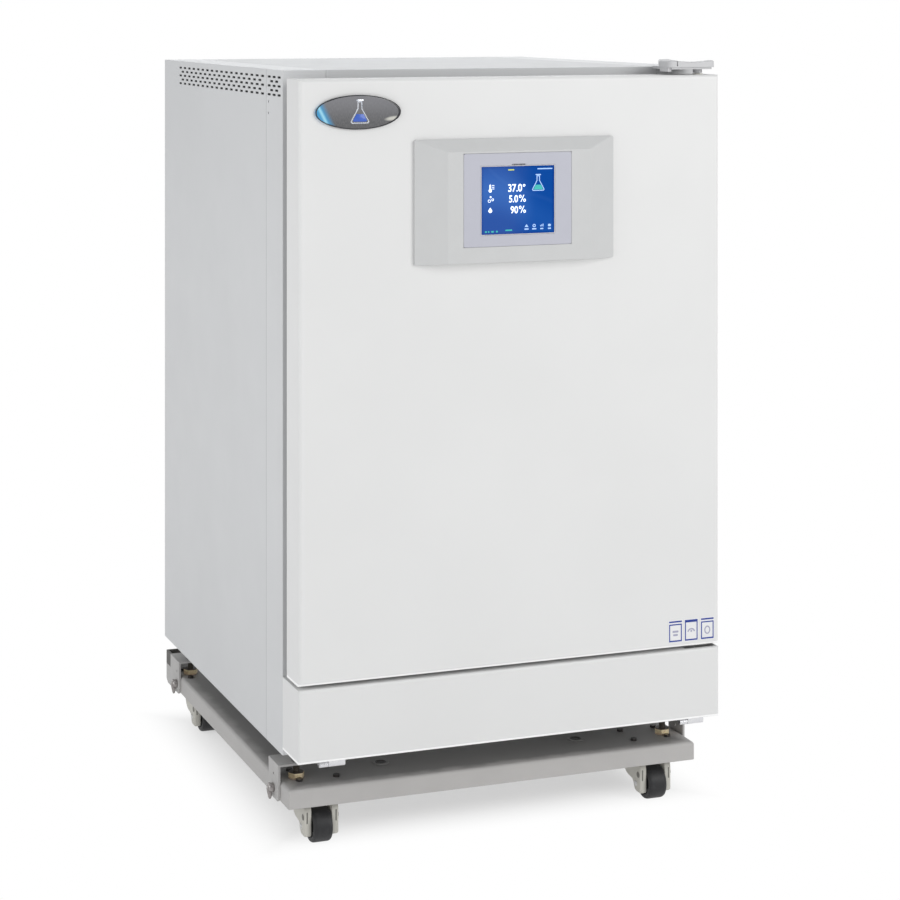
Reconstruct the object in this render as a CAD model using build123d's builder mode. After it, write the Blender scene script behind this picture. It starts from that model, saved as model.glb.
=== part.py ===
"""A floor-standing chamber cabinet on a roll-about base, one STEP file for each piece.

A solid outer door and a glass inner door close the chamber, and a lower front panel
covers the control bay. Origin on the floor under the centre of the machine; X to the
right, Y to the back, Z up. Millimetres.
"""
from build123d import *
import os

os.makedirs("parts", exist_ok=True)

CUT = Mode.SUBTRACT
SIDES = (-1, 1)           # left, right

# ------------------------------------------------------------------ driving dimensions
HALF_WIDTH = 339.0        # cabinet and door
CAB_BACK = 371.5
CAB_FRONT = -295.0
CAB_BOTTOM = 141.0
CAB_TOP = 1144.0
SHEET = 1.2               # cabinet sheet metal
BEND_RADIUS = 1.1
SEAM_Y = -216.0           # between front frame and side panels
SEAM_X = 272.0            # between side panel returns and top panel
SEAM_GAP = 0.2            # from the seam line to each sheet

DOOR_FRONT = -371.5       # also the front of the lower panel
DOOR_BACK = -315.5
DOOR_BOTTOM = 261.5
DOOR_TOP = 1132.7
DOOR_SHEET = 1.5
HINGE_X, HINGE_Y = 317.0, -343.5
HINGE_PIN_RADIUS = 4.0
MOUNT_Y = DOOR_FRONT - 0.1        # back of the pieces fixed on the door front

CHAMBER_HALF = 264.0      # outside half width of the liner
CHAMBER_BOTTOM, CHAMBER_TOP = 332.0, 1018.0
CHAMBER_BACK = 228.0
CHAMBER_MID = (CHAMBER_BOTTOM + CHAMBER_TOP) / 2
PORT_X, PORT_Z = 170, 860         # access port through the back
BLOWER_X, BLOWER_Y = 0, -20

GLASS_HINGE_X, GLASS_HINGE_Y = 270.0, -304.4
GLASS_LEFT, GLASS_RIGHT = -282.0, GLASS_HINGE_X + 2.5
LATCH_X = -272

# fittings on the rear panel
INLET_X = -230
FITTINGS_Z = 227
GAS_X = (-150, -110)

BASE_HALF = 332.5
BASE_FRONT, BASE_BACK = -305.5, 362.0
BASE_TOP, BASE_BOTTOM = 91.0, 63.5
CASTOR_FRONT = (275.0, -244.0)    # swivel axes, right side
CASTOR_REAR = (289.0, 304.0)
FOOT_FRONT = (303.5, -252.0)      # foot axes, right side
FOOT_REAR = (311.0, 305.0)


# ------------------------------------------------------------------ helpers
# Cuts overshoot the faces they pass through by a millimetre or more.
def block(left, right, front, back, bottom, top, mode=Mode.ADD):
    """A rectangular block; left and right may come in either order."""
    with Locations(((left + right) / 2, (front + back) / 2, (bottom + top) / 2)):
        Box(abs(right - left), back - front, top - bottom, mode=mode)


def rod_x(start, end, y, z, radius, mode=Mode.ADD):
    """A rod along X; its ends may come in either order."""
    with Locations(Location(((start + end) / 2, y, z), (0, 90, 0))):
        Cylinder(radius, abs(end - start), mode=mode)


def rod_y(front, back, x, z, radius, mode=Mode.ADD):
    with Locations(Location((x, (front + back) / 2, z), (90, 0, 0))):
        Cylinder(radius, back - front, mode=mode)


def rod_z(bottom, top, x, y, radius, mode=Mode.ADD):
    with Locations((x, y, (bottom + top) / 2)):
        Cylinder(radius, top - bottom, mode=mode)


def front_plane(y):
    """Upright sketch plane at y, facing the front: positive extrusions go towards -Y."""
    return Plane.XZ.offset(-y)


def mid(span):
    return (span[0] + span[1]) / 2


def size(span):
    return span[1] - span[0]


def save(builder, name):
    builder.part.label = name
    export_step(builder.part, f"parts/{name}.step")


# ------------------------------------------------------------------ cabinet skins
VENT_TOP_Z = 1133.0
VENT_ROWS = 5
VENT_ROW_PITCH = 6.6
VENT_LENGTH, VENT_HEIGHT = 15.6, 3.3


def vent_points(first_y, count, odd_count, pitch):
    """Centres (y, z) of the staggered rows of vent slots; odd rows start half a pitch on."""
    points = []
    for row in range(VENT_ROWS):
        z = VENT_TOP_Z - row * VENT_ROW_PITCH
        if row % 2 == 0:
            points += [(first_y + i * pitch, z) for i in range(count)]
        else:
            points += [(first_y + pitch / 2 + i * pitch, z) for i in range(odd_count)]
    return points


SIDE_VENTS = vent_points(-197.0, 18, 17, 27.35)
FRAME_VENTS = vent_points(-278.5, 3, 2, 24.2)
BOTTOM_RETURN_X = 318     # inner edge of the return below a side panel
REAR_RETURN_X = 315       # inner edge of the return behind it
TURN_DOWN_Z = 1128        # lower edge of the top panel's turned-down ends
TOP_HALF = SEAM_X - SEAM_GAP
SIDE_FRONT = SEAM_Y + SEAM_GAP
FRAME_BACK = SEAM_Y - SEAM_GAP
SHEET_X = HALF_WIDTH - SHEET      # inner face of the side sheets
SHEET_TOP = CAB_TOP - SHEET       # inner face of the top sheets

# left side panel: folded sheet with returns over the top, below and behind
with BuildPart() as side_panel_left:
    with BuildSketch(front_plane(SIDE_FRONT)):
        with BuildLine():
            Polyline(
                (-BOTTOM_RETURN_X, CAB_BOTTOM), (-HALF_WIDTH, CAB_BOTTOM),
                (-HALF_WIDTH, CAB_TOP), (-SEAM_X - SEAM_GAP, CAB_TOP),
                (-SEAM_X - SEAM_GAP, SHEET_TOP), (-SHEET_X, SHEET_TOP),
                (-SHEET_X, CAB_BOTTOM + SHEET), (-BOTTOM_RETURN_X, CAB_BOTTOM + SHEET),
                close=True,
            )
        make_face()
    extrude(amount=-(CAB_BACK - SIDE_FRONT))
    # the outer edge that lies furthest up and to the left
    top_bend = side_panel_left.edges().filter_by(Axis.Y).sort_by(
        lambda edge: edge.center().X - edge.center().Z)[0]
    fillet(top_bend, BEND_RADIUS)
    block(-SHEET_X, -REAR_RETURN_X, CAB_BACK - SHEET, CAB_BACK, CAB_BOTTOM + SHEET, SHEET_TOP)
    with BuildSketch(Plane.YZ.offset(-HALF_WIDTH - 1)):
        with Locations(*SIDE_VENTS):
            SlotOverall(VENT_LENGTH, VENT_HEIGHT)
    extrude(amount=4, mode=CUT)
save(side_panel_left, "side_panel_left")

with BuildPart() as side_panel_right:
    mirror(side_panel_left.part, about=Plane.YZ)
save(side_panel_right, "side_panel_right")

# top panel between the two side returns, turned down at the front and back
with BuildPart() as top_panel:
    block(-TOP_HALF, TOP_HALF, CAB_FRONT, CAB_BACK, SHEET_TOP, CAB_TOP)
    block(-TOP_HALF, TOP_HALF, CAB_FRONT, CAB_FRONT + SHEET, TURN_DOWN_Z, SHEET_TOP)
    block(-TOP_HALF, TOP_HALF, CAB_BACK - SHEET, CAB_BACK, TURN_DOWN_Z, SHEET_TOP)
    fillet(top_panel.edges().filter_by(Axis.X).group_by(Axis.Z)[-1], 1.0)
save(top_panel, "top_panel")

# front frame: wrap-round front with the chamber mouth and the opening behind the lower panel
MOUTH_GAP = 0.5           # round the chamber liner
SERVICE_OPENING = (-286, 250, 166, 244)   # left, right, bottom, top
SIDE_HOLES_Y, SIDE_HOLES_Z = -227.3, (1095.6, 1078.8)
TOP_HOLES_X, TOP_HOLES_Y = (-301.6, -293.2), -240.5

with BuildPart() as front_frame:
    with BuildSketch(Plane.XY.offset(CAB_BOTTOM)):
        with BuildLine():
            Polyline(
                (-HALF_WIDTH, FRAME_BACK), (-HALF_WIDTH, CAB_FRONT),
                (HALF_WIDTH, CAB_FRONT), (HALF_WIDTH, FRAME_BACK),
                (SHEET_X, FRAME_BACK), (SHEET_X, CAB_FRONT + SHEET),
                (-SHEET_X, CAB_FRONT + SHEET), (-SHEET_X, FRAME_BACK),
                close=True,
            )
        make_face()
    extrude(amount=CAB_TOP - CAB_BOTTOM)
    fillet(front_frame.edges().filter_by(Axis.Z).group_by(Axis.Y)[0], BEND_RADIUS)
    for side in SIDES:
        block(side * SHEET_X, side * (SEAM_X + SEAM_GAP), CAB_FRONT + SHEET, FRAME_BACK,
              SHEET_TOP, CAB_TOP)
    block(-SEAM_X, SEAM_X, CAB_FRONT - 1, CAB_FRONT + SHEET + 1,
          TURN_DOWN_Z - SEAM_GAP, CAB_TOP + 1, mode=CUT)
    block(-CHAMBER_HALF - MOUTH_GAP, CHAMBER_HALF + MOUTH_GAP, CAB_FRONT - 1, CAB_FRONT + 2,
          CHAMBER_BOTTOM - MOUTH_GAP, CHAMBER_TOP + MOUTH_GAP, mode=CUT)
    left, right, bottom, top = SERVICE_OPENING
    block(left, right, CAB_FRONT - 1, CAB_FRONT + 2, bottom, top, mode=CUT)
    with BuildSketch(Plane.YZ.offset(-HALF_WIDTH - 1)):
        with Locations(*FRAME_VENTS):
            SlotOverall(VENT_LENGTH, VENT_HEIGHT)
    extrude(amount=2 * HALF_WIDTH + 2, mode=CUT)
    for z in SIDE_HOLES_Z:
        for side in SIDES:
            rod_x(side * (HALF_WIDTH + 1), side * (HALF_WIDTH - 3), SIDE_HOLES_Y, z, 1.9, mode=CUT)
    for x in TOP_HOLES_X:
        rod_z(CAB_TOP - 3, CAB_TOP + 1, x, TOP_HOLES_Y, 2.3, mode=CUT)
save(front_frame, "front_frame")

# rear panel with two fields of slots and openings for the mains inlet, gas and access port
REAR_HALF = REAR_RETURN_X - SEAM_GAP
REAR_Z = (142.6, 1127.6)
REAR_SLOT = (34, 4)
REAR_SLOT_PITCH = 44
REAR_SCREW_ENDS_Z = (165, 1110)
REAR_SCREWS = [(x, z) for z in (165, 480, 800, 1110) for x in (-304, 304)]
REAR_SCREWS += [(0, z) for z in REAR_SCREW_ENDS_Z]

with BuildPart() as rear_panel:
    block(-REAR_HALF, REAR_HALF, CAB_BACK - SHEET, CAB_BACK, *REAR_Z)
    with BuildSketch(front_plane(CAB_BACK - 3)):
        # height of the field, row pitch, rows
        for z, row_pitch, rows in ((300, 14, 6), (1070, 12, 4)):
            with Locations((0, z)):
                with GridLocations(REAR_SLOT_PITCH, row_pitch, 8, rows):
                    SlotOverall(*REAR_SLOT)
        with Locations((PORT_X, PORT_Z)):
            Circle(22.6)
        with Locations((INLET_X, FITTINGS_Z)):
            Rectangle(28, 58)
        with Locations(*[(x, FITTINGS_Z) for x in GAS_X]):
            Circle(5.0)
        with Locations(*REAR_SCREWS):
            Circle(2.1)
    extrude(amount=-6, mode=CUT)
save(rear_panel, "rear_panel")

# bottom pan with four weld nuts for the levelling feet
PAN_TOP = 143.8
FOOT_AXES = [(side * x, y) for side in SIDES for x, y in (FOOT_FRONT, FOOT_REAR)]

with BuildPart() as bottom_pan:
    block(-337.4, 337.4, -293.4, 369.8, 142.4, PAN_TOP)
    with BuildSketch(Plane.XY.offset(PAN_TOP)):
        with Locations(*FOOT_AXES):
            RegularPolygon(11, 6)
    extrude(amount=12)
    for x, y in FOOT_AXES:
        rod_z(140, 160, x, y, 5.4, mode=CUT)
save(bottom_pan, "bottom_pan")

# rear panel screws: slotted heads outside, shanks through the sheet
with BuildPart() as cabinet_screws:
    for x, z in REAR_SCREWS:
        rod_y(CAB_BACK - 9, CAB_BACK + 0.5, x, z, 1.9)
        rod_y(CAB_BACK + 0.05, CAB_BACK + 2.6, x, z, 4.2)
        block(x - 3, x + 3, CAB_BACK + 1.6, CAB_BACK + 3, z - 0.5, z + 0.5, mode=CUT)
save(cabinet_screws, "cabinet_screws")

# ------------------------------------------------------------------ chamber and its insulation
LINER_FRONT = -293.6
LINER_CUT_FRONT = -294.0
LINER_RADIUS = 18
PORT_TUBE_RADIUS, PORT_BORE_RADIUS = 24, 22.4

with BuildPart() as inner_chamber:
    block(-CHAMBER_HALF, CHAMBER_HALF, LINER_FRONT, CHAMBER_BACK, CHAMBER_BOTTOM, CHAMBER_TOP)
    fillet(inner_chamber.edges().filter_by(Axis.Y), LINER_RADIUS)
    with BuildSketch(front_plane(LINER_CUT_FRONT)):
        with Locations((0, CHAMBER_MID)):
            RectangleRounded(2 * (CHAMBER_HALF - SHEET), CHAMBER_TOP - CHAMBER_BOTTOM - 2 * SHEET,
                             LINER_RADIUS - SHEET)
    extrude(amount=-(CHAMBER_BACK - SHEET - LINER_CUT_FRONT), mode=CUT)
    rod_y(CHAMBER_BACK - 0.6, 369.8, PORT_X, PORT_Z, PORT_TUBE_RADIUS)
    rod_y(CHAMBER_BACK - 3, 371, PORT_X, PORT_Z, PORT_BORE_RADIUS, mode=CUT)
    rod_z(CHAMBER_TOP - 4, CHAMBER_TOP + 2, BLOWER_X, BLOWER_Y, 8, mode=CUT)
save(inner_chamber, "inner_chamber")

# five insulation slabs: left, right, top, bottom, back
SLAB_GAP = 0.4
SLAB_X = 316              # outer faces of the side slabs
SLAB_Y = (-290, 280)
SLAB_BOTTOM, SLAB_TOP = 284, 1066

with BuildPart() as chamber_insulation:
    for side in SIDES:
        block(side * (CHAMBER_HALF + SLAB_GAP), side * SLAB_X, *SLAB_Y, SLAB_BOTTOM, SLAB_TOP)
    block(-CHAMBER_HALF, CHAMBER_HALF, *SLAB_Y, CHAMBER_TOP + SLAB_GAP, SLAB_TOP)
    block(-CHAMBER_HALF, CHAMBER_HALF, *SLAB_Y, SLAB_BOTTOM, CHAMBER_BOTTOM - SLAB_GAP)
    block(-CHAMBER_HALF, CHAMBER_HALF, CHAMBER_BACK + SLAB_GAP, SLAB_Y[1],
          CHAMBER_BOTTOM, CHAMBER_TOP)
    rod_y(CHAMBER_BACK - 1, SLAB_Y[1] + 2, PORT_X, PORT_Z, PORT_TUBE_RADIUS + SLAB_GAP, mode=CUT)
    rod_z(CHAMBER_TOP - 1, SLAB_TOP + 2, BLOWER_X, BLOWER_Y, 11, mode=CUT)
save(chamber_insulation, "chamber_insulation")

# trim round the chamber mouth, with the latch keeper and the glass door's pivots
TRIM_BACK = CAB_FRONT - 0.1
TRIM_DEPTH = 3.4
TRIM_FRONT = TRIM_BACK - TRIM_DEPTH
KEEPER_LEFT, KEEPER_FRONT = -292.6, -317.5
KEEPER_Z = (CHAMBER_MID - 11, CHAMBER_MID + 11)
EAR_X = (258, 276)

with BuildPart() as chamber_trim:
    with BuildSketch(front_plane(TRIM_BACK)):
        with Locations((0, CHAMBER_MID)):
            RectangleRounded(570, 724, 26)
            RectangleRounded(516, 674, 14, mode=CUT)
    extrude(amount=TRIM_DEPTH)
    fillet(chamber_trim.edges().group_by(Axis.Y)[0], 1.2)
    # keeper: foot, arm and hook
    block(KEEPER_LEFT, -283, TRIM_FRONT, TRIM_BACK, CHAMBER_MID - 15, CHAMBER_MID + 15)
    block(KEEPER_LEFT, -290.4, KEEPER_FRONT, TRIM_BACK, *KEEPER_Z)
    block(KEEPER_LEFT, -286.4, KEEPER_FRONT, -315.6, *KEEPER_Z)
    # ears and their feet, then the pivot pins
    for ear_z in ((1045, 1049), (301, 305)):
        block(*EAR_X, -308, TRIM_BACK, *ear_z)
    for foot_z in ((1036, 1049), (301, 314)):
        block(*EAR_X, TRIM_FRONT, TRIM_BACK, *foot_z)
    for pin_z in ((1038.5, 1046), (304, 311.5)):
        rod_z(*pin_z, GLASS_HINGE_X, GLASS_HINGE_Y, 0.9)
save(chamber_trim, "chamber_trim")

# ------------------------------------------------------------------ shelves and water pan
SHELF_LEVELS = {"shelf_lower": 500.0, "shelf_middle": 660.0, "shelf_upper": 820.0}
UPRIGHT_Y = (-218, 172)
BRACKET_Y = (-240, 200)
BRACKET_X = 252.4         # outer face of the angle
PAN_FLOOR = 340

# four slotted uprights that carry the shelf brackets
with BuildPart() as shelf_uprights:
    for side in SIDES:
        for y in UPRIGHT_Y:
            block(side * 255.2, side * 261.8, y - 7, y + 7, 352, 998)
    with BuildSketch(Plane.YZ.offset(-262.5)):
        with Locations(*[(y, CHAMBER_MID) for y in UPRIGHT_Y]):
            with GridLocations(1, 40, 1, 16):
                Rectangle(5, 16)
    extrude(amount=525, mode=CUT)
save(shelf_uprights, "shelf_uprights")

# shelf brackets: an angle each side at each level, and two floor runners for the water pan
with BuildPart() as shelf_brackets:
    for side in SIDES:
        for z in SHELF_LEVELS.values():
            block(side * 250.9, side * BRACKET_X, *BRACKET_Y, z - 16, z + 8)
            block(side * 236.0, side * BRACKET_X, *BRACKET_Y, z - 14.0, z - 12.4)
            for y in UPRIGHT_Y:
                block(side * BRACKET_X, side * 255.0, y - 6, y + 6, z - 10, z + 6)
        block(side * 200 - 5, side * 200 + 5, -240, 190, CHAMBER_BOTTOM + 1.4, PAN_FLOOR - 0.4)
save(shelf_brackets, "shelf_brackets")

SHELF_HALF = 249.6
SHELF_Y = (-262, 205)
SHELF_SHEET = 1.5
SHELF_LIP = 12            # depth of the turned-down edges below the shelf's top face
LIP_HALF = 245            # half length of the front and back edges


def shelf_shape(z):
    """Perforated shelf: a pressed sheet with turned-down edges, its top face at z."""
    with BuildSketch(Plane.XY.offset(z)) as plate:
        with Locations((0, mid(SHELF_Y))):
            RectangleRounded(2 * SHELF_HALF, size(SHELF_Y), 4)
            with GridLocations(36, 36, 13, 12):
                SlotOverall(24, 12, mode=CUT)
    extrude(plate.sketch, amount=-SHELF_SHEET)
    lip_z = (z - SHELF_LIP, z - SHELF_SHEET)
    front, back = SHELF_Y
    for side in SIDES:
        block(side * SHELF_HALF, side * (SHELF_HALF - SHELF_SHEET), front + 4, back - 4, *lip_z)
    block(-LIP_HALF, LIP_HALF, front, front + SHELF_SHEET, *lip_z)
    block(-LIP_HALF, LIP_HALF, back - SHELF_SHEET, back, *lip_z)


for name, z in SHELF_LEVELS.items():
    with BuildPart() as shelf:
        shelf_shape(z)
    save(shelf, name)

# water pan on the chamber floor, with an outward rim
PAN_HALF = 215
PAN_Y = (-250, 190)
PAN_RIM_Z = 376
PAN_SHEET = 1.5

with BuildPart() as humidity_pan:
    block(-PAN_HALF, PAN_HALF, *PAN_Y, PAN_FLOOR, PAN_RIM_Z)
    fillet(humidity_pan.edges().filter_by(Axis.Z), 24)
    fillet(humidity_pan.edges().group_by(Axis.Z)[0], 6)
    offset(amount=-PAN_SHEET, openings=humidity_pan.faces().sort_by(Axis.Z)[-1])
    with BuildSketch(Plane.XY.offset(PAN_RIM_Z - PAN_SHEET)):
        with Locations((0, mid(PAN_Y))):
            RectangleRounded(2 * PAN_HALF + 12, size(PAN_Y) + 12, 28)
            RectangleRounded(2 * PAN_HALF - 2, size(PAN_Y) - 2, 23, mode=CUT)
    extrude(amount=PAN_SHEET)
save(humidity_pan, "humidity_pan")

# ------------------------------------------------------------------ air system
# plenum under the chamber ceiling: inlet under the blower, outlet slots at the sides
PLENUM_HALF = 190
PLENUM_Y = (-170, 200)
PLENUM_Z = (950, 1014)

with BuildPart() as plenum_cover:
    block(-PLENUM_HALF, PLENUM_HALF, *PLENUM_Y, *PLENUM_Z)
    block(-PLENUM_HALF + SHEET, PLENUM_HALF - SHEET, PLENUM_Y[0] + SHEET, PLENUM_Y[1] - SHEET,
          PLENUM_Z[0] + SHEET, PLENUM_Z[1] + 1, mode=CUT)
    rod_z(PLENUM_Z[0] - 1, PLENUM_Z[0] + 3, BLOWER_X, BLOWER_Y, 42, mode=CUT)
    with BuildSketch(Plane.YZ.offset(-PLENUM_HALF - 1)):
        with Locations((mid(PLENUM_Y), 985)):
            with GridLocations(34, 14, 9, 3):
                SlotOverall(26, 6)
    extrude(amount=2 * PLENUM_HALF + 2, mode=CUT)
save(plenum_cover, "plenum_cover")

# filter cartridge inside the plenum, its pleats cut from the top
FILTER_Y = (70, 182)
FILTER_TOP = 1010

with BuildPart() as hepa_filter:
    block(-85, 85, *FILTER_Y, 956, FILTER_TOP)
    with BuildSketch(Plane.XY.offset(FILTER_TOP)):
        with Locations((0, mid(FILTER_Y))):
            with GridLocations(10, 1, 15, 1):
                Rectangle(5, 96)
    extrude(amount=-20, mode=CUT)
save(hepa_filter, "hepa_filter")

# centrifugal blower wheel with its shaft up through the ceiling
ROTOR_BOTTOM, ROTOR_TOP = 962, 996
ROTOR_RADIUS = 55

with BuildPart() as blower_wheel:
    rod_z(ROTOR_BOTTOM, ROTOR_TOP, BLOWER_X, BLOWER_Y, 11)
    rod_z(ROTOR_TOP - 2, ROTOR_TOP, BLOWER_X, BLOWER_Y, ROTOR_RADIUS)
    with BuildSketch(Plane.XY.offset(ROTOR_BOTTOM)):
        with Locations((BLOWER_X, BLOWER_Y)):
            Circle(ROTOR_RADIUS)
            Circle(47, mode=CUT)
    extrude(amount=2)
    # slanting blades
    with BuildSketch(Plane.XY.offset(ROTOR_BOTTOM + 1)):
        with Locations((BLOWER_X, BLOWER_Y)):
            with PolarLocations(48, 18):
                Rectangle(11, 1.6, rotation=30)
    extrude(amount=32)
    rod_z(990, 1088, BLOWER_X, BLOWER_Y, 4)
save(blower_wheel, "blower_wheel")

# blower motor on top of the insulation
FLANGE_HALF = 48
FLANGE_BOTTOM = SLAB_TOP + SLAB_GAP
FLANGE_TOP = FLANGE_BOTTOM + 3
FLANGE_HOLE = 40          # from the axis, in both X and Y

with BuildPart() as fan_motor:
    block(BLOWER_X - FLANGE_HALF, BLOWER_X + FLANGE_HALF,
          BLOWER_Y - FLANGE_HALF, BLOWER_Y + FLANGE_HALF, FLANGE_BOTTOM, FLANGE_TOP)
    fillet(fan_motor.edges().filter_by(Axis.Z), 8)
    rod_z(FLANGE_TOP, 1116, BLOWER_X, BLOWER_Y, 36)
    fillet(fan_motor.edges().group_by(Axis.Z)[-1], 4)
    rod_z(1060, 1092, BLOWER_X, BLOWER_Y, 4.5, mode=CUT)
    with Locations(*[(BLOWER_X + i * FLANGE_HOLE, BLOWER_Y + j * FLANGE_HOLE, 1068)
                     for i in SIDES for j in SIDES]):
        Cylinder(2.5, 6, mode=CUT)
save(fan_motor, "fan_motor")

# gas and temperature probes hanging from the chamber ceiling: y, flange radius, tip z, radius
PROBES_X = 222
PROBE_FLANGE_Z = (1010, 1016.4)

with BuildPart() as sensor_probes:
    for y, flange_radius, tip_z, radius in ((120, 12, 984, 8), (60, 7, 950, 3)):
        rod_z(*PROBE_FLANGE_Z, PROBES_X, y, flange_radius)
        rod_z(tip_z, PROBE_FLANGE_Z[0], PROBES_X, y, radius)
save(sensor_probes, "sensor_probes")

# ------------------------------------------------------------------ electrics and rear fittings
TRAY_X = (-292, -20)
TRAY_BACK, TRAY_TOP = -60, 146
BOARD_BOTTOM, BOARD_TOP = 158, 160

# control electronics in the bay behind the lower panel
with BuildPart() as control_module:
    block(*TRAY_X, -285, TRAY_BACK, 144.2, TRAY_TOP)
    block(*TRAY_X, TRAY_BACK - 1.8, TRAY_BACK, TRAY_TOP, 190)
    block(-280, -180, -270, -110, TRAY_TOP, 205)
    # circuit board on four posts
    block(-160, -40, -268, -90, BOARD_BOTTOM, BOARD_TOP)
    for x in (-154, -46):
        for y in (-262, -96):
            rod_z(TRAY_TOP - 1, BOARD_BOTTOM + 1, x, y, 3)
    # square and round components
    block(-150, -120, -240, -200, BOARD_TOP, 178)
    block(-100, -60, -230, -190, BOARD_TOP, 170)
    rod_z(BOARD_TOP, 190, -130, -150, 14)
    rod_z(BOARD_TOP, 184, -90, -140, 10)
save(control_module, "control_module")

# mains inlet with its socket and contacts below and the switch window above
with BuildPart() as power_inlet:
    block(INLET_X - 16, INLET_X + 16, CAB_BACK + 0.1, 374.2, 196, 258)
    block(INLET_X - 13.6, INLET_X + 13.6, 346, 371.7, 198.5, 255.5)
    block(INLET_X - 12, INLET_X + 12, 356, 375, 201, 224, mode=CUT)
    block(INLET_X - 7.2, INLET_X + 7.2, 358, 375, 231.5, 251.5, mode=CUT)
    for x, z in ((INLET_X - 6, 209), (INLET_X + 6, 209), (INLET_X, 217)):
        block(x - 1, x + 1, 355, 371, z - 2.5, z + 2.5)
save(power_inlet, "power_inlet")

# rocker profile: y, z
ROCKER_OUTLINE = ((362, 236), (374.0, 233.6), (372.6, 241.5), (374.0, 249.4), (362, 247))

with BuildPart() as power_switch:
    with BuildSketch(Plane.YZ.offset(INLET_X - 6.5)):
        with BuildLine():
            Polyline(*ROCKER_OUTLINE, close=True)
        make_face()
    extrude(amount=13)
save(power_switch, "power_switch")

# two barbed gas inlets
with BuildPart() as gas_fittings:
    for x in GAS_X:
        rod_y(352, 372.5, x, FITTINGS_Z, 4.7)
        with BuildSketch(front_plane(CAB_BACK + 0.1)):
            with Locations((x, FITTINGS_Z)):
                RegularPolygon(8, 6)
        extrude(amount=-4.5)
        rod_y(375, 392, x, FITTINGS_Z, 2.9)
        for y in (379, 384, 389):
            with Locations(Location((x, y, FITTINGS_Z), (90, 0, 0))):
                Cone(3.9, 2.9, 4)
        rod_y(350, 393, x, FITTINGS_Z, 1.6, mode=CUT)
save(gas_fittings, "gas_fittings")

# silicone stopper of the access port
with BuildPart() as port_plug:
    rod_y(338, 371.8, PORT_X, PORT_Z, 21.8)
    rod_y(371.7, 380, PORT_X, PORT_Z, 27)
    fillet(port_plug.edges().group_by(Axis.Y)[-1], 3)
    rod_y(379, 384.5, PORT_X, PORT_Z, 9)
save(port_plug, "port_plug")

# ------------------------------------------------------------------ outer door
BUSH_RADIUS = 8.0
BEZEL_HOLES_X, BEZEL_HOLES_Z = (-122.6, 117.4), 950

with BuildPart() as door_skin:
    block(-HALF_WIDTH, HALF_WIDTH, DOOR_FRONT, DOOR_BACK, DOOR_BOTTOM, DOOR_TOP)
    fillet(door_skin.faces().sort_by(Axis.Y)[0].edges(), 5.5)
    offset(amount=-DOOR_SHEET, openings=door_skin.faces().sort_by(Axis.Y)[-1])
    for hole_z in ((DOOR_TOP - 4, DOOR_TOP + 2), (DOOR_BOTTOM - 2, DOOR_BOTTOM + 4)):
        rod_z(*hole_z, HINGE_X, HINGE_Y, BUSH_RADIUS + 0.2, mode=CUT)
    # slot in the top, opposite the hinge
    with BuildSketch(Plane.XY.offset(DOOR_TOP + 1)):
        with Locations((-HINGE_X, HINGE_Y)):
            SlotOverall(23, 9)
    extrude(amount=-4, mode=CUT)
    for x in BEZEL_HOLES_X:
        rod_y(DOOR_FRONT - 1, DOOR_FRONT + 4, x, BEZEL_HOLES_Z, 4, mode=CUT)
save(door_skin, "door_skin")

# inner liner of the door: pressed sheet, recessed in the middle to clear the glass door
RECESS_HALF = 295.0
RECESS_Z = (303.5, 1091.5)
RECESS_RADIUS = 16
LINER_FACE = -317

with BuildPart() as door_liner:
    block(-337.2, 337.2, LINER_FACE, DOOR_BACK, DOOR_BOTTOM + 1.8, DOOR_TOP - 1.8)
    block(-RECESS_HALF, RECESS_HALF, -329, LINER_FACE, *RECESS_Z)
    fillet(door_liner.edges().filter_by(Axis.Y).group_by(SortBy.LENGTH)[-1], RECESS_RADIUS)
    with BuildSketch(front_plane(DOOR_BACK + 0.5)):
        with Locations((0, mid(RECESS_Z))):
            RectangleRounded(2 * (RECESS_HALF - DOOR_SHEET), size(RECESS_Z) - 2 * DOOR_SHEET,
                             RECESS_RADIUS - DOOR_SHEET)
    extrude(amount=12, mode=CUT)
save(door_liner, "door_liner")

# door insulation, cut away round the hinge bushes and under the slot in the door's top
with BuildPart() as door_insulation:
    block(-333, 333, -369.8, -329.4, 267, 1127)
    for corner_z in ((1100, 1128), (266, 294)):
        block(305, 334, -356, -329, *corner_z, mode=CUT)
    block(-334, -304, -350, -337, 1118, 1128, mode=CUT)
save(door_insulation, "door_insulation")

# magnetic gasket between door and cabinet, with a groove round its outside
GASKET_Z = 698            # centre height

with BuildPart() as door_gasket:
    with BuildSketch(front_plane(DOOR_BACK + 0.1)):
        with Locations((0, GASKET_Z)):
            RectangleRounded(630, 828, 14)
            RectangleRounded(594, 800, 8, mode=CUT)
    extrude(amount=-19.9)
    with BuildSketch(front_plane(-305)):
        with Locations((0, GASKET_Z)):
            RectangleRounded(632, 830, 14)
            RectangleRounded(626, 824, 12, mode=CUT)
    extrude(amount=3, both=True, mode=CUT)
save(door_gasket, "door_gasket")

# plastic bushes for the hinge pins at the top and bottom of the door
with BuildPart() as hinge_bushes:
    for bush_z in ((1112, DOOR_TOP + 1.5), (DOOR_BOTTOM - 0.6, 282)):
        rod_z(*bush_z, HINGE_X, HINGE_Y, BUSH_RADIUS)
    for bore_z in ((1110, 1136), (258, 284)):
        rod_z(*bore_z, HINGE_X, HINGE_Y, HINGE_PIN_RADIUS + 0.25, mode=CUT)
save(hinge_bushes, "hinge_bushes")

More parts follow.
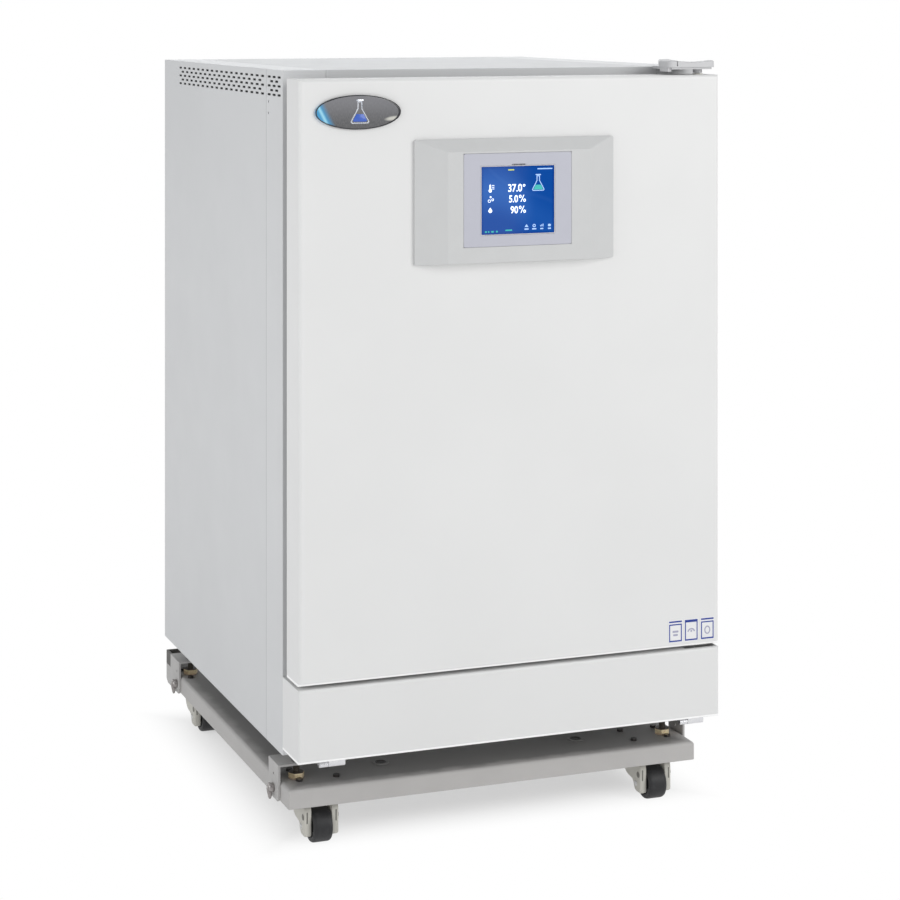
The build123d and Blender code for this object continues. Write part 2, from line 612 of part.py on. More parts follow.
# ------------------------------------------------------------------ control bezel and badge
BEZEL_X, BEZEL_Z = (-162.7, 157.5), (860.0, 1043.0)
BEZEL_RIM_DEPTH = 4.4
BEZEL_RIM_Y = MOUNT_Y - BEZEL_RIM_DEPTH
BEZEL_FACE_Y = -391.5
BEZEL_FACE_X, BEZEL_FACE_Z = (-117, 113), (BEZEL_Z[0] + 1.5, 1025)
DISPLAY_X, DISPLAY_Z = (-92.0, 81.0), (885.0, 1022.0)     # display frame
SCREEN_X, SCREEN_Z = (-64.4, 53.2), (902.4, 1002.8)       # window in the frame
FRAME_GAP = 0.3
SCREEN_SHOULDER_Y = -389.2


def grown(span, margin):
    """The span widened by a margin at both ends."""
    return span[0] - margin, span[1] + margin


# bevelled bezel on the door front, hollow behind
with BuildPart() as control_bezel:
    with BuildSketch(front_plane(MOUNT_Y)):
        with Locations((mid(BEZEL_X), mid(BEZEL_Z))):
            RectangleRounded(size(BEZEL_X), size(BEZEL_Z), 3)
    extrude(amount=BEZEL_RIM_DEPTH)
    with BuildSketch(front_plane(BEZEL_RIM_Y)):
        with Locations((mid(BEZEL_X), mid(BEZEL_Z))):
            RectangleRounded(size(BEZEL_X), size(BEZEL_Z), 3)
    with BuildSketch(front_plane(BEZEL_FACE_Y)):
        with Locations((mid(BEZEL_FACE_X), mid(BEZEL_FACE_Z))):
            RectangleRounded(size(BEZEL_FACE_X), size(BEZEL_FACE_Z), 3)
    loft(ruled=True)
    # seat of the display frame, hollow, and opening for the screen
    block(*grown(DISPLAY_X, FRAME_GAP), BEZEL_FACE_Y - 1, BEZEL_FACE_Y + 2.4,
          *grown(DISPLAY_Z, FRAME_GAP), mode=CUT)
    block(-110, 105, -386, -371, 872, 1014, mode=CUT)
    block(*grown(SCREEN_X, 8), BEZEL_FACE_Y, -380, *grown(SCREEN_Z, 8), mode=CUT)
save(control_bezel, "control_bezel")

with BuildPart() as display_frame:
    with BuildSketch(front_plane(-389.3)):
        with Locations((mid(DISPLAY_X), mid(DISPLAY_Z))):
            RectangleRounded(size(DISPLAY_X), size(DISPLAY_Z), 2.5)
        with Locations((mid(SCREEN_X), mid(SCREEN_Z))):
            Rectangle(size(SCREEN_X), size(SCREEN_Z), mode=CUT)
    extrude(amount=2.7)
    chamfer(display_frame.edges().group_by(Axis.Y)[0], 0.5)
save(display_frame, "display_frame")

# touch screen module, its raised face inside the frame window
with BuildPart() as display_screen:
    block(*grown(SCREEN_X, 6), SCREEN_SHOULDER_Y, -384, *grown(SCREEN_Z, 6))
    block(*grown(SCREEN_X, -0.2), -390.8, SCREEN_SHOULDER_Y, *grown(SCREEN_Z, -0.2))
save(display_screen, "display_screen")

# plain oval badge
with BuildPart() as door_badge:
    with BuildSketch(front_plane(MOUNT_Y)):
        with Locations((-249.4, 1084.8)):
            Ellipse(65.5, 25)
    extrude(amount=4)
    fillet(door_badge.edges().group_by(Axis.Y)[0], 1.8)
save(door_badge, "door_badge")

# ------------------------------------------------------------------ door hinge hardware
# outline of the upper bracket's cover: x, y
COVER_OUTLINE = ((258, -363.5), (338, -363.5), (338, -335), (312, -262), (292, -262), (258, -330))
COVER_BOTTOM = CAB_TOP + 0.1
COVER_HEIGHT = 10.4
SADDLE_RADIUS, SADDLE_DEPTH = 110, 3.4
SADDLE_Z = COVER_BOTTOM + COVER_HEIGHT + SADDLE_RADIUS - SADDLE_DEPTH

# upper bracket: covered plate on the cabinet top, reaching over the door, with its pin
with BuildPart() as top_hinge_bracket:
    with BuildSketch(Plane.XY.offset(COVER_BOTTOM)):
        with BuildLine():
            Polyline(*COVER_OUTLINE, close=True)
        make_face()
    extrude(amount=COVER_HEIGHT)
    fillet(top_hinge_bracket.edges().filter_by(Axis.Z).sort_by(Axis.Y)[:2], 8)
    fillet(top_hinge_bracket.edges().filter_by(Axis.Z).sort_by(Axis.Y)[-2:], 6)
    fillet(top_hinge_bracket.edges().group_by(Axis.Z)[-1], 3)
    # shallow saddle aslant across the top of the cover
    with Locations(Plane(origin=(318, -312, SADDLE_Z), x_dir=(0.942, -0.335, 0),
                         z_dir=(0.335, 0.942, 0))):
        Cylinder(SADDLE_RADIUS, 180, mode=CUT)
    # groove near the left edge
    block(271.4, 273.0, -364.5, -330, CAB_TOP + 2.2, CAB_TOP + 14, mode=CUT)
    # skirt over the gap above the door
    block(263.5, 332, -361, -330, CAB_TOP - 3.0, CAB_TOP + 1)
    block(263.5, 318, -331, -297, CAB_TOP - 3.0, CAB_TOP + 1)
    block(258.6, 264.5, -358, -332, CAB_TOP - 6.4, CAB_TOP + 1)
    # pin and its collar
    rod_z(1116, CAB_TOP + 2, HINGE_X, HINGE_Y, HINGE_PIN_RADIUS)
    rod_z(1135.2, CAB_TOP, HINGE_X, HINGE_Y, 7.0)
save(top_hinge_bracket, "top_hinge_bracket")

LOWER_BRACKET_X = (289, 334)
LOWER_BRACKET_BOTTOM = 257.6

with BuildPart() as bottom_hinge_bracket:
    block(*LOWER_BRACKET_X, -358, TRIM_BACK, LOWER_BRACKET_BOTTOM, 260.4)
    fillet(bottom_hinge_bracket.edges().filter_by(Axis.Z).group_by(Axis.Y)[0], 10)
    block(*LOWER_BRACKET_X, TRIM_BACK - 3, TRIM_BACK, LOWER_BRACKET_BOTTOM, 282)
    rod_z(258, 280, HINGE_X, HINGE_Y, HINGE_PIN_RADIUS)
save(bottom_hinge_bracket, "bottom_hinge_bracket")

# ------------------------------------------------------------------ inner glass door
GLASS_BACK = -300.4
GLASS_WIDTH = GLASS_RIGHT - GLASS_LEFT
GROOVE_X = (GLASS_LEFT + 14, GLASS_RIGHT - 14)
GROOVE_Z = (326, 1024)
PANE_GAP = 0.3            # round the edge of the pane

with BuildPart() as glass_door_frame:
    with BuildSketch(front_plane(GLASS_BACK)):
        with Locations(((GLASS_LEFT + GLASS_RIGHT) / 2, CHAMBER_MID)):
            RectangleRounded(GLASS_WIDTH, 726, 10)
            RectangleRounded(GLASS_WIDTH - 36, 690, 6, mode=CUT)
    extrude(amount=8)
    # groove for the pane
    block(*GROOVE_X, -306.6, -302.2, *GROOVE_Z, mode=CUT)
    # pivot ears top and bottom
    for bottom, top in ((1038, 1044.4), (305.6, 312)):
        rod_z(bottom, top, GLASS_HINGE_X, GLASS_HINGE_Y, 2.4)
        block(GLASS_HINGE_X - 12, GLASS_HINGE_X, -306.4, -302.4, bottom, top)
        rod_z(bottom - 1, top + 1, GLASS_HINGE_X, GLASS_HINGE_Y, 1.1, mode=CUT)
    # boss for the latch
    rod_y(-309.0, GLASS_BACK, LATCH_X, CHAMBER_MID, 4.0)
    rod_y(-310, -299, LATCH_X, CHAMBER_MID, 2.3, mode=CUT)
save(glass_door_frame, "glass_door_frame")

with BuildPart() as glass_pane:
    block(*grown(GROOVE_X, -PANE_GAP), -306.4, -302.4, *grown(GROOVE_Z, -PANE_GAP))
    fillet(glass_pane.edges().filter_by(Axis.Y), 4)
save(glass_pane, "glass_pane")

# turn latch: a lever on a pin, pointing up, with a knob in front
with BuildPart() as glass_latch:
    with BuildSketch(front_plane(-309.4)):
        with Locations((LATCH_X, CHAMBER_MID)):
            Circle(6)
        with Locations((LATCH_X, CHAMBER_MID + 8)):
            Rectangle(9, 17)
    extrude(amount=3.6)
    rod_y(-313, -300.6, LATCH_X, CHAMBER_MID, 2.0)
    rod_y(-322, -312, LATCH_X, CHAMBER_MID, 4.0)
save(glass_latch, "glass_latch")

# ------------------------------------------------------------------ lower front panel
PANEL_BOTTOM, PANEL_TOP = 150.0, 256.3
KNUCKLE_Y, KNUCKLE_Z = -326.5, 132.0      # hinge axis
KNUCKLE_RADIUS = 4.5

with BuildPart() as lower_panel:
    block(-HALF_WIDTH, HALF_WIDTH, DOOR_FRONT, CAB_FRONT - 0.8, PANEL_BOTTOM, PANEL_TOP)
    fillet(lower_panel.faces().sort_by(Axis.Y)[0].edges(), 3.5)
    offset(amount=-DOOR_SHEET, openings=lower_panel.faces().sort_by(Axis.Y)[-1])
    # notch in the top under the door's lower hinge bracket
    block(284, HALF_WIDTH - DOOR_SHEET, -364, CAB_FRONT, PANEL_TOP - 4, PANEL_TOP + 2, mode=CUT)
save(lower_panel, "lower_panel")

# hinge leaves under the cabinet with their knuckles and pins
LEAF_TOP = 140.6

with BuildPart() as panel_hinge_leaves:
    for leaf_x, pin_x in (((-294, -280.3), (-294, -254)), ((294, 307), (294, 334))):
        rod_x(*leaf_x, KNUCKLE_Y, KNUCKLE_Z, KNUCKLE_RADIUS)
        block(*leaf_x, KNUCKLE_Y, -301, KNUCKLE_Z - 1, KNUCKLE_Z + 1)
        block(*leaf_x, -303, -301, KNUCKLE_Z - 1, LEAF_TOP)
        block(*leaf_x, -303, -268, LEAF_TOP - 2, LEAF_TOP)
        rod_x(*pin_x, KNUCKLE_Y, KNUCKLE_Z, 2.0)
save(panel_hinge_leaves, "panel_hinge_leaves")

# matching knuckles and leaves under the panel
PLATE_TOP = PANEL_BOTTOM - 0.1

with BuildPart() as panel_hinge_knuckles:
    for left, right in ((-279.9, -254), (307.4, 334)):
        rod_x(left, right, KNUCKLE_Y, KNUCKLE_Z, KNUCKLE_RADIUS)
        block(left, right, KNUCKLE_Y - KNUCKLE_RADIUS, KNUCKLE_Y - 2.7, KNUCKLE_Z, PLATE_TOP)
        block(left, right, KNUCKLE_Y - 30, KNUCKLE_Y - 2.7, PLATE_TOP - 1.8, PLATE_TOP)
        rod_x(left - 1, right + 1, KNUCKLE_Y, KNUCKLE_Z, 2.3, mode=CUT)
save(panel_hinge_knuckles, "panel_hinge_knuckles")

# ------------------------------------------------------------------ roll-about base
BASE_SHEET = 2.0
CASTOR_AXES = [(side * x, y) for side in SIDES for x, y in (CASTOR_FRONT, CASTOR_REAR)]
BOLTS = [(x + dx, y + dy) for x, y in CASTOR_AXES for dx in (-29, 29) for dy in (-24, 24)]
BOLT_HOLE_RADIUS = 3.2
CLAMP_SCREWS_Y = (-242.0, 303.0)
CLAMP_SCREW_Z = 77.0
CLAMP_HOLE_RADIUS = 3.3

with BuildPart() as base_frame:
    block(-BASE_HALF, BASE_HALF, BASE_FRONT, BASE_BACK, BASE_BOTTOM, BASE_TOP)
    fillet(base_frame.edges().filter_by(Axis.Z), 3)
    fillet(base_frame.edges().group_by(Axis.Z)[-1], 5)
    offset(amount=-BASE_SHEET, openings=base_frame.faces().sort_by(Axis.Z)[0])
    block(-190, 190, -150, 215, BASE_TOP - 4, BASE_TOP + 2, mode=CUT)
    # two raised rings near the front
    for x in (-162.5, 162.5):
        rod_z(BASE_TOP - 1, BASE_TOP + 1.6, x, -232, 13)
        rod_z(BASE_TOP - 4, BASE_TOP + 3, x, -232, 9, mode=CUT)
    with Locations(*[(x, y, BASE_TOP - 1) for x, y in BOLTS]):
        Cylinder(BOLT_HOLE_RADIUS, 6, mode=CUT)
    for y in CLAMP_SCREWS_Y:
        for side in SIDES:
            rod_x(side * (BASE_HALF + 1), side * (BASE_HALF - 4), y, CLAMP_SCREW_Z,
                  CLAMP_HOLE_RADIUS, mode=CUT)
save(base_frame, "base_frame")

# castor top plates with their swivel bearings
with BuildPart() as castor_plates:
    for x, y in CASTOR_AXES:
        block(x - 38, x + 38, y - 33, y + 33, 85.8, 88.8)
        rod_z(80.4, 86.5, x, y, 24)
        rod_z(79, 86.2, x, y, 5.4, mode=CUT)
    with Locations(*[(x, y, 87) for x, y in BOLTS]):
        Cylinder(BOLT_HOLE_RADIUS, 8, mode=CUT)
save(castor_plates, "castor_plates")

# hexagon bolts with their nuts, four to each castor
with BuildPart() as base_bolts:
    with BuildSketch(Plane.XY.offset(BASE_TOP + 0.1)):
        with Locations(*BOLTS):
            RegularPolygon(5.2, 6)
    extrude(amount=3.6)
    for x, y in BOLTS:
        rod_z(80.6, BASE_TOP + 1, x, y, 2.9)
    with BuildSketch(Plane.XY.offset(81.4)):
        with Locations(*BOLTS):
            RegularPolygon(5.4, 6)
    extrude(amount=4.2)
save(base_bolts, "base_bolts")

# ------------------------------------------------------------------ clamps and levelling feet
CLAMP_SHEET = 3.3
CLAMP_PLATE = 3           # thickness of the top plate and the rear return
CLAMP_TOP, CLAMP_BOTTOM = 116.5, 62.0
CLAMP_INNER = BASE_HALF + 0.2
CLAMP_OUTER = CLAMP_INNER + CLAMP_SHEET
CLAMP_BACK = 371.5        # back of the rear clamps
# foot axis, (front, back) of the top plate, screw y, back edge of the side plate as (y, z)
CLAMPS = (
    (FOOT_FRONT, (-266.0, -218.0), CLAMP_SCREWS_Y[0],
     ((-218.0, CLAMP_BOTTOM), (-218.0, CLAMP_TOP))),
    (FOOT_REAR, (289.0, 345.0), CLAMP_SCREWS_Y[1],
     ((CLAMP_BACK - 9, CLAMP_BOTTOM), (CLAMP_BACK, CLAMP_BOTTOM + 6),
      (CLAMP_BACK, CLAMP_TOP - 5), (CLAMP_BACK - 4, CLAMP_TOP), (346.0, CLAMP_TOP))),
)

# clamps that tie each levelling foot to the base rail
with BuildPart() as foot_clamps:
    for side in SIDES:
        for (foot_x, foot_y), (front, back), screw_y, back_edge in CLAMPS:
            # side plate, bevelled at its lower front corner
            with BuildSketch(Plane.YZ.offset(side * (CLAMP_INNER + CLAMP_SHEET / 2))):
                with BuildLine():
                    Polyline((front + 5, CLAMP_BOTTOM), *back_edge, (front, CLAMP_TOP),
                             (front, CLAMP_BOTTOM + 9), close=True)
                make_face()
            extrude(amount=CLAMP_SHEET / 2, both=True)
            # top plate with the slot for the foot's stem
            block(side * 293, side * CLAMP_OUTER, front, back, CLAMP_TOP - CLAMP_PLATE, CLAMP_TOP)
            rod_z(CLAMP_TOP - 4, CLAMP_TOP + 1, side * foot_x, foot_y, 7, mode=CUT)
            block(side * 285, side * foot_x, foot_y - 7, foot_y + 7,
                  CLAMP_TOP - 4, CLAMP_TOP + 1, mode=CUT)
            # hole for the wing screw and a small one above it
            for z, radius in ((CLAMP_SCREW_Z, CLAMP_HOLE_RADIUS), (98, 2.2)):
                rod_x(side * (BASE_HALF - 2), side * (BASE_HALF + 6), screw_y, z, radius, mode=CUT)
        # rear return of the rear clamp, behind the base rail
        block(side * 296, side * CLAMP_OUTER, CLAMP_BACK - CLAMP_PLATE, CLAMP_BACK,
              CLAMP_BOTTOM + 8, CLAMP_TOP)
save(foot_clamps, "foot_clamps")

# wing screws through the clamps into the base rail
with BuildPart() as clamp_screws:
    for side in SIDES:
        for y in CLAMP_SCREWS_Y:
            rod_x(side * 320, side * 345, y, CLAMP_SCREW_Z, 3.0)
            rod_x(side * 336.2, side * 343, y, CLAMP_SCREW_Z, 7.0)
            block(side * 338.5, side * 350, y - 2.2, y + 2.2,
                  CLAMP_SCREW_Z - 17, CLAMP_SCREW_Z + 8)
save(clamp_screws, "clamp_screws")


def foot_shape(x, y):
    """Levelling foot: a wide hexagon with its stem."""
    with BuildSketch(Plane.XY.offset(91.1)) as hexagon:
        with Locations((x, y)):
            RegularPolygon(12.3, 6)
    extrude(hexagon.sketch, amount=9.3)
    rod_z(100, 160, x, y, 5.0)


for row, (x, y) in (("front", FOOT_FRONT), ("rear", FOOT_REAR)):
    for side, hand in ((-1, "left"), (1, "right")):
        with BuildPart() as foot:
            foot_shape(side * x, y)
        save(foot, f"foot_{row}_{hand}")

# ------------------------------------------------------------------ castors
CASTOR_TRAIL = 27.5       # the wheel trails this far in front of the swivel axis
WHEEL_RADIUS = 25.0       # also the height of the axle
WHEEL_HALF = 15.0         # half width
FORK_HALF = 27            # half width
SLOT_HALF = 16            # half width of the wheel slot
# side view of the fork: y from the axle, z
FORK_OUTLINE = (
    (-14, 10), (-14, 52), (-10, 60), (-2, 61), (-2, 71), (46, 71),
    (50, 66), (50, 50), (16, 13), (11, 10),
)
# wheel section with bevelled tyre edges and dished sides: x from the middle, radius
WHEEL_SECTION = (
    (-WHEEL_HALF, 4.4), (-WHEEL_HALF, 9), (-12, 11), (-12, 19), (-WHEEL_HALF, 20.5),
    (-12, WHEEL_RADIUS), (12, WHEEL_RADIUS),
    (WHEEL_HALF, 20.5), (12, 19), (12, 11), (WHEEL_HALF, 9), (WHEEL_HALF, 4.4),
)


def fork_shape(swivel_x, swivel_y):
    """Hooded castor fork with its kingpin and axle."""
    axle_y = swivel_y - CASTOR_TRAIL
    with BuildSketch(Plane.YZ.offset(swivel_x - FORK_HALF)) as outline:
        with BuildLine():
            Polyline(*[(axle_y + y, z) for y, z in FORK_OUTLINE], close=True)
        make_face()
    extrude(outline.sketch, amount=2 * FORK_HALF)
    # the slot that holds the wheel, open to the front and closed behind
    with BuildSketch(Plane.YZ.offset(swivel_x - SLOT_HALF)) as slot:
        with Locations((axle_y, WHEEL_RADIUS)):
            Circle(27)
        with Locations((axle_y - 15, WHEEL_RADIUS + 13.5)):
            Rectangle(30, 27)
        with Locations((axle_y - 17, 55)):
            Rectangle(26, 20)
        with Locations((axle_y, WHEEL_RADIUS - 15)):
            Rectangle(54, 30)
    extrude(slot.sketch, amount=2 * SLOT_HALF, mode=CUT)
    rod_z(70, 79.6, swivel_x, swivel_y, 20)
    rod_z(79, 85.6, swivel_x, swivel_y, 5.0)
    rod_x(swivel_x - 25, swivel_x + 25, axle_y, WHEEL_RADIUS, 4.0)


def wheel_shape(swivel_x, swivel_y):
    """Castor wheel, turned about its axle."""
    axle_y = swivel_y - CASTOR_TRAIL
    with BuildSketch(front_plane(axle_y)) as section:
        with BuildLine():
            Polyline(*[(swivel_x + x, WHEEL_RADIUS + radius) for x, radius in WHEEL_SECTION],
                     close=True)
        make_face()
    revolve(section.sketch, axis=Axis((swivel_x, axle_y, WHEEL_RADIUS), (1, 0, 0)),
            revolution_arc=360)


for row, (x, y) in (("f", CASTOR_FRONT), ("r", CASTOR_REAR)):
    for side, hand in ((-1, "l"), (1, "r")):
        with BuildPart() as castor_fork:
            fork_shape(side * x, y)
        save(castor_fork, f"castor_fork_{row}{hand}")
        with BuildPart() as castor_wheel:
            wheel_shape(side * x, y)
        save(castor_wheel, f"castor_wheel_{row}{hand}")
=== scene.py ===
import math

import bmesh
import bpy
from mathutils import Matrix, Vector


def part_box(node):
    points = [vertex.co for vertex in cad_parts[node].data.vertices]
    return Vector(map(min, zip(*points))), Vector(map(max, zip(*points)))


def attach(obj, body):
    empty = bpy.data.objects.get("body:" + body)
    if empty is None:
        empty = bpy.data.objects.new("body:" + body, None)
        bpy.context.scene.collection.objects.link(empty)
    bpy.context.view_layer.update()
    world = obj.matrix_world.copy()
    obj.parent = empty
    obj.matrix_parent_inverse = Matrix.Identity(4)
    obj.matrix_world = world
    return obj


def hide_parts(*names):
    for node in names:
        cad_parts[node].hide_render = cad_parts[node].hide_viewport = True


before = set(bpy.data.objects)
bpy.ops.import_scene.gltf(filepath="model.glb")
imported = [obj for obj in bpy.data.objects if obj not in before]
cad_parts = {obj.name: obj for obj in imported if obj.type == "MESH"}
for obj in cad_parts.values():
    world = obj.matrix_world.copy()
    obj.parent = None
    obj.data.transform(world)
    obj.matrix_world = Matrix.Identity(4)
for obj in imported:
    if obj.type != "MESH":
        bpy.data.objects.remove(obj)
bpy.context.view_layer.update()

scene = bpy.context.scene
MM = 0.001


def corners(node):
    """Lowest and highest corner of a CAD node in millimetres."""
    lo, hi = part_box(node)
    return lo / MM, hi / MM


# ====================================================================== materials
class Nodes:
    """Small helper round a material's node tree. Coordinates are object coordinates in millimetres."""

    def __init__(self, name):
        self.mat = bpy.data.materials.new(name)
        self.mat.use_nodes = True
        self.nt = self.mat.node_tree
        self.bsdf = self.nt.nodes["Principled BSDF"]
        tc = self.nt.nodes.new("ShaderNodeTexCoord")
        sc = self.nt.nodes.new("ShaderNodeVectorMath")
        sc.operation = "SCALE"
        sc.inputs[3].default_value = 1000.0
        self.nt.links.new(tc.outputs["Object"], sc.inputs[0])
        self.pos = sc.outputs[0]
        self._sep = None

    def node(self, kind, **props):
        n = self.nt.nodes.new(kind)
        for k, v in props.items():
            setattr(n, k, v)
        return n

    def put(self, socket, value):
        if isinstance(value, bpy.types.NodeSocket):
            self.nt.links.new(value, socket)
        elif isinstance(value, (tuple, list)) and len(value) == 3 and socket.type == "RGBA":
            socket.default_value = (*value, 1.0)
        else:
            socket.default_value = value

    def xyz(self):
        if self._sep is None:
            self._sep = self.node("ShaderNodeSeparateXYZ")
            self.put(self._sep.inputs[0], self.pos)
        return self._sep.outputs[0], self._sep.outputs[1], self._sep.outputs[2]

    def math(self, op, a, b=0.0, c=0.0, clamp=False):
        n = self.node("ShaderNodeMath", operation=op, use_clamp=clamp)
        self.put(n.inputs[0], a)
        if len(n.inputs) > 1:
            self.put(n.inputs[1], b)
        if len(n.inputs) > 2:
            self.put(n.inputs[2], c)
        return n.outputs[0]

    def smooth(self, v, lo, hi, a=0.0, b=1.0):
        n = self.node("ShaderNodeMapRange", interpolation_type="SMOOTHSTEP")
        self.put(n.inputs["Value"], v)
        n.inputs["From Min"].default_value = lo
        n.inputs["From Max"].default_value = hi
        n.inputs["To Min"].default_value = a
        n.inputs["To Max"].default_value = b
        return n.outputs[0]

    def stretch(self, sx, sy, sz, offset=(0, 0, 0)):
        n = self.node("ShaderNodeMapping")
        self.put(n.inputs["Vector"], self.pos)
        n.inputs["Location"].default_value = offset
        n.inputs["Scale"].default_value = (sx, sy, sz)
        return n.outputs[0]

    def noise(self, size, detail=3.0, rough=0.5, vector=None, distortion=0.0):
        """Noise whose features are about `size` millimetres."""
        n = self.node("ShaderNodeTexNoise")
        self.put(n.inputs["Vector"], self.pos if vector is None else vector)
        n.inputs["Scale"].default_value = 1.0 / size
        n.inputs["Detail"].default_value = detail
        n.inputs["Roughness"].default_value = rough
        n.inputs["Distortion"].default_value = distortion
        return n.outputs["Fac"]

    def cells(self, size, feature="F1", vector=None):
        n = self.node("ShaderNodeTexVoronoi", feature=feature)
        self.put(n.inputs["Vector"], self.pos if vector is None else vector)
        n.inputs["Scale"].default_value = 1.0 / size
        return n.outputs["Distance"]

    def mix(self, fac, a, b):
        n = self.node("ShaderNodeMix", data_type="RGBA")
        self.put(n.inputs[0], fac)
        self.put(n.inputs[6], a)
        self.put(n.inputs[7], b)
        return n.outputs[2]

    def bump(self, height, distance_mm, strength=1.0, normal=None):
        n = self.node("ShaderNodeBump")
        n.inputs["Strength"].default_value = strength
        n.inputs["Distance"].default_value = distance_mm * MM
        self.put(n.inputs["Height"], height)
        if normal is not None:
            self.put(n.inputs["Normal"], normal)
        return n.outputs[0]

    def edge(self, radius_mm, samples=4):
        """Rounded shading normal and a mask that is 1 on edges."""
        bv = self.node("ShaderNodeBevel", samples=samples)
        bv.inputs["Radius"].default_value = radius_mm * MM
        geo = self.node("ShaderNodeNewGeometry")
        dot = self.node("ShaderNodeVectorMath", operation="DOT_PRODUCT")
        self.put(dot.inputs[0], bv.outputs[0])
        self.put(dot.inputs[1], geo.outputs["Normal"])
        return bv.outputs[0], self.smooth(dot.outputs["Value"], 0.97, 0.80)

    def set(self, **inputs):
        for k, v in inputs.items():
            self.put(self.bsdf.inputs[k.replace("_", " ")], v)


def shade(rgb, k):
    return tuple(min(1.0, c * k) for c in rgb)


def coat(name, rgb, rough=0.42, orange=0.8, depth=0.012, edge_mm=0.8, wear=0.25, seed=0.0, tone=0.012, seam_shading=(), top_bend_highlight_z=None, hem_highlight_z=None):
    """Stoved powder coat: orange peel, faint tonal drift, slightly polished edges, painted shadow in the seam gaps with
    a painted highlight beside them, painted highlights on a top bend and a bottom hem.
    """
    n = Nodes(name)
    drift = n.noise(260, 3, 0.55, n.stretch(1, 1, 1, (seed, 0, 0)))
    speck = n.noise(1.1, 2, 0.6)
    base = n.mix(n.smooth(drift, 0.3, 0.7), shade(rgb, 1 - tone), shade(rgb, 1 + tone))
    base = n.mix(n.smooth(speck, 0.55, 0.85, 0.0, 0.35), base, shade(rgb, 0.94))
    nrm, mask = n.edge(edge_mm)
    rub = n.math("MULTIPLY", mask, n.smooth(n.noise(9, 4, 0.6), 0.45, 0.7, 0.0, wear))
    base = n.mix(rub, base, shade(rgb, 0.86))
    for axis, at, reach in seam_shading:
        v = n.xyz()["xyz".index(axis)]
        # painted shadow in the seam gap, then a painted highlight line beside it
        dark = n.smooth(n.math("ABSOLUTE", n.math("SUBTRACT", v, at)), reach * 0.55, reach, 0.62, 0.0)
        base = n.mix(dark, base, shade(rgb, 0.30))
        pale = n.smooth(n.math("ABSOLUTE", n.math("SUBTRACT", v, at)), reach, reach * 2.8, 0.5, 0.0)
        base = n.mix(pale, base, tuple(min(1.0, c * 1.10) for c in rgb))
    if top_bend_highlight_z is not None:
        # painted highlight along the rounded top bend of the side panels
        top_bend_highlight = n.smooth(n.xyz()[2], top_bend_highlight_z - 1.3, top_bend_highlight_z - 0.3)
        base = n.mix(n.math("MULTIPLY", top_bend_highlight, 0.8), base, tuple(min(1.0, c * 1.14) for c in rgb))
    if hem_highlight_z is not None:
        # painted highlight on the rolled bottom hem: near-white colour and a faint painted glow
        zz = n.xyz()[2]
        hem_highlight = n.math("MULTIPLY", n.smooth(zz, hem_highlight_z + 4.2, hem_highlight_z + 2.9), n.smooth(zz, hem_highlight_z + 0.2, hem_highlight_z + 0.9))
        base = n.mix(n.math("MULTIPLY", hem_highlight, 0.9), base, (0.99, 0.99, 0.985))
        n.put(n.bsdf.inputs["Emission Color"], (1.0, 1.0, 1.0))
        n.put(n.bsdf.inputs["Emission Strength"], n.math("MULTIPLY", hem_highlight, 0.10))
    peel = n.noise(orange, 2, 0.5)
    n.set(Base_Color=base,
          Roughness=n.math("ADD", n.smooth(n.noise(60, 3, 0.5), 0.2, 0.8, rough - 0.05, rough + 0.05),
                           n.math("MULTIPLY", mask, -0.08)),
          Normal=n.bump(peel, depth, 0.55, nrm),
          Specular_IOR_Level=0.45)
    n.bsdf.inputs["Coat Weight"].default_value = 0.08
    n.bsdf.inputs["Coat Roughness"].default_value = 0.25
    return n.mat


def plastic(name, rgb, rough=0.45, grain=0.6, depth=0.02, edge_mm=0.5, dirt=0.15, spec=0.5):
    """Moulded plastic: fine spark-eroded grain, slight shine on worn edges."""
    n = Nodes(name)
    nrm, mask = n.edge(edge_mm)
    tex = n.noise(grain, 3, 0.7)
    cloud = n.smooth(n.noise(35, 4, 0.6), 0.3, 0.75)
    base = n.mix(n.math("MULTIPLY", cloud, dirt), shade(rgb, 1.02), shade(rgb, 0.88))
    base = n.mix(n.math("MULTIPLY", mask, 0.3), base, shade(rgb, 1.12))
    n.set(Base_Color=base,
          Roughness=n.math("SUBTRACT", n.smooth(tex, 0.2, 0.8, rough - 0.06, rough + 0.07), n.math("MULTIPLY", mask, 0.1)),
          Normal=n.bump(tex, depth, 0.6, nrm), Specular_IOR_Level=spec)
    return n.mat


def rubber(name, rgb, rough=0.72, ribs=False):
    n = Nodes(name)
    tex = n.noise(0.9, 4, 0.7)
    dust = n.smooth(n.noise(12, 4, 0.6), 0.45, 0.8, 0.0, 0.5)
    base = n.mix(dust, rgb, tuple(min(1.0, c + 0.035) for c in rgb))
    nrm, mask = n.edge(0.7)
    n.set(Base_Color=base, Roughness=n.smooth(tex, 0.2, 0.8, rough - 0.08, rough + 0.08),
          Normal=n.bump(tex, 0.05, 0.7, nrm), Specular_IOR_Level=0.4)
    n.bsdf.inputs["Sheen Weight"].default_value = 0.12
    n.bsdf.inputs["Sheen Roughness"].default_value = 0.5
    return n.mat


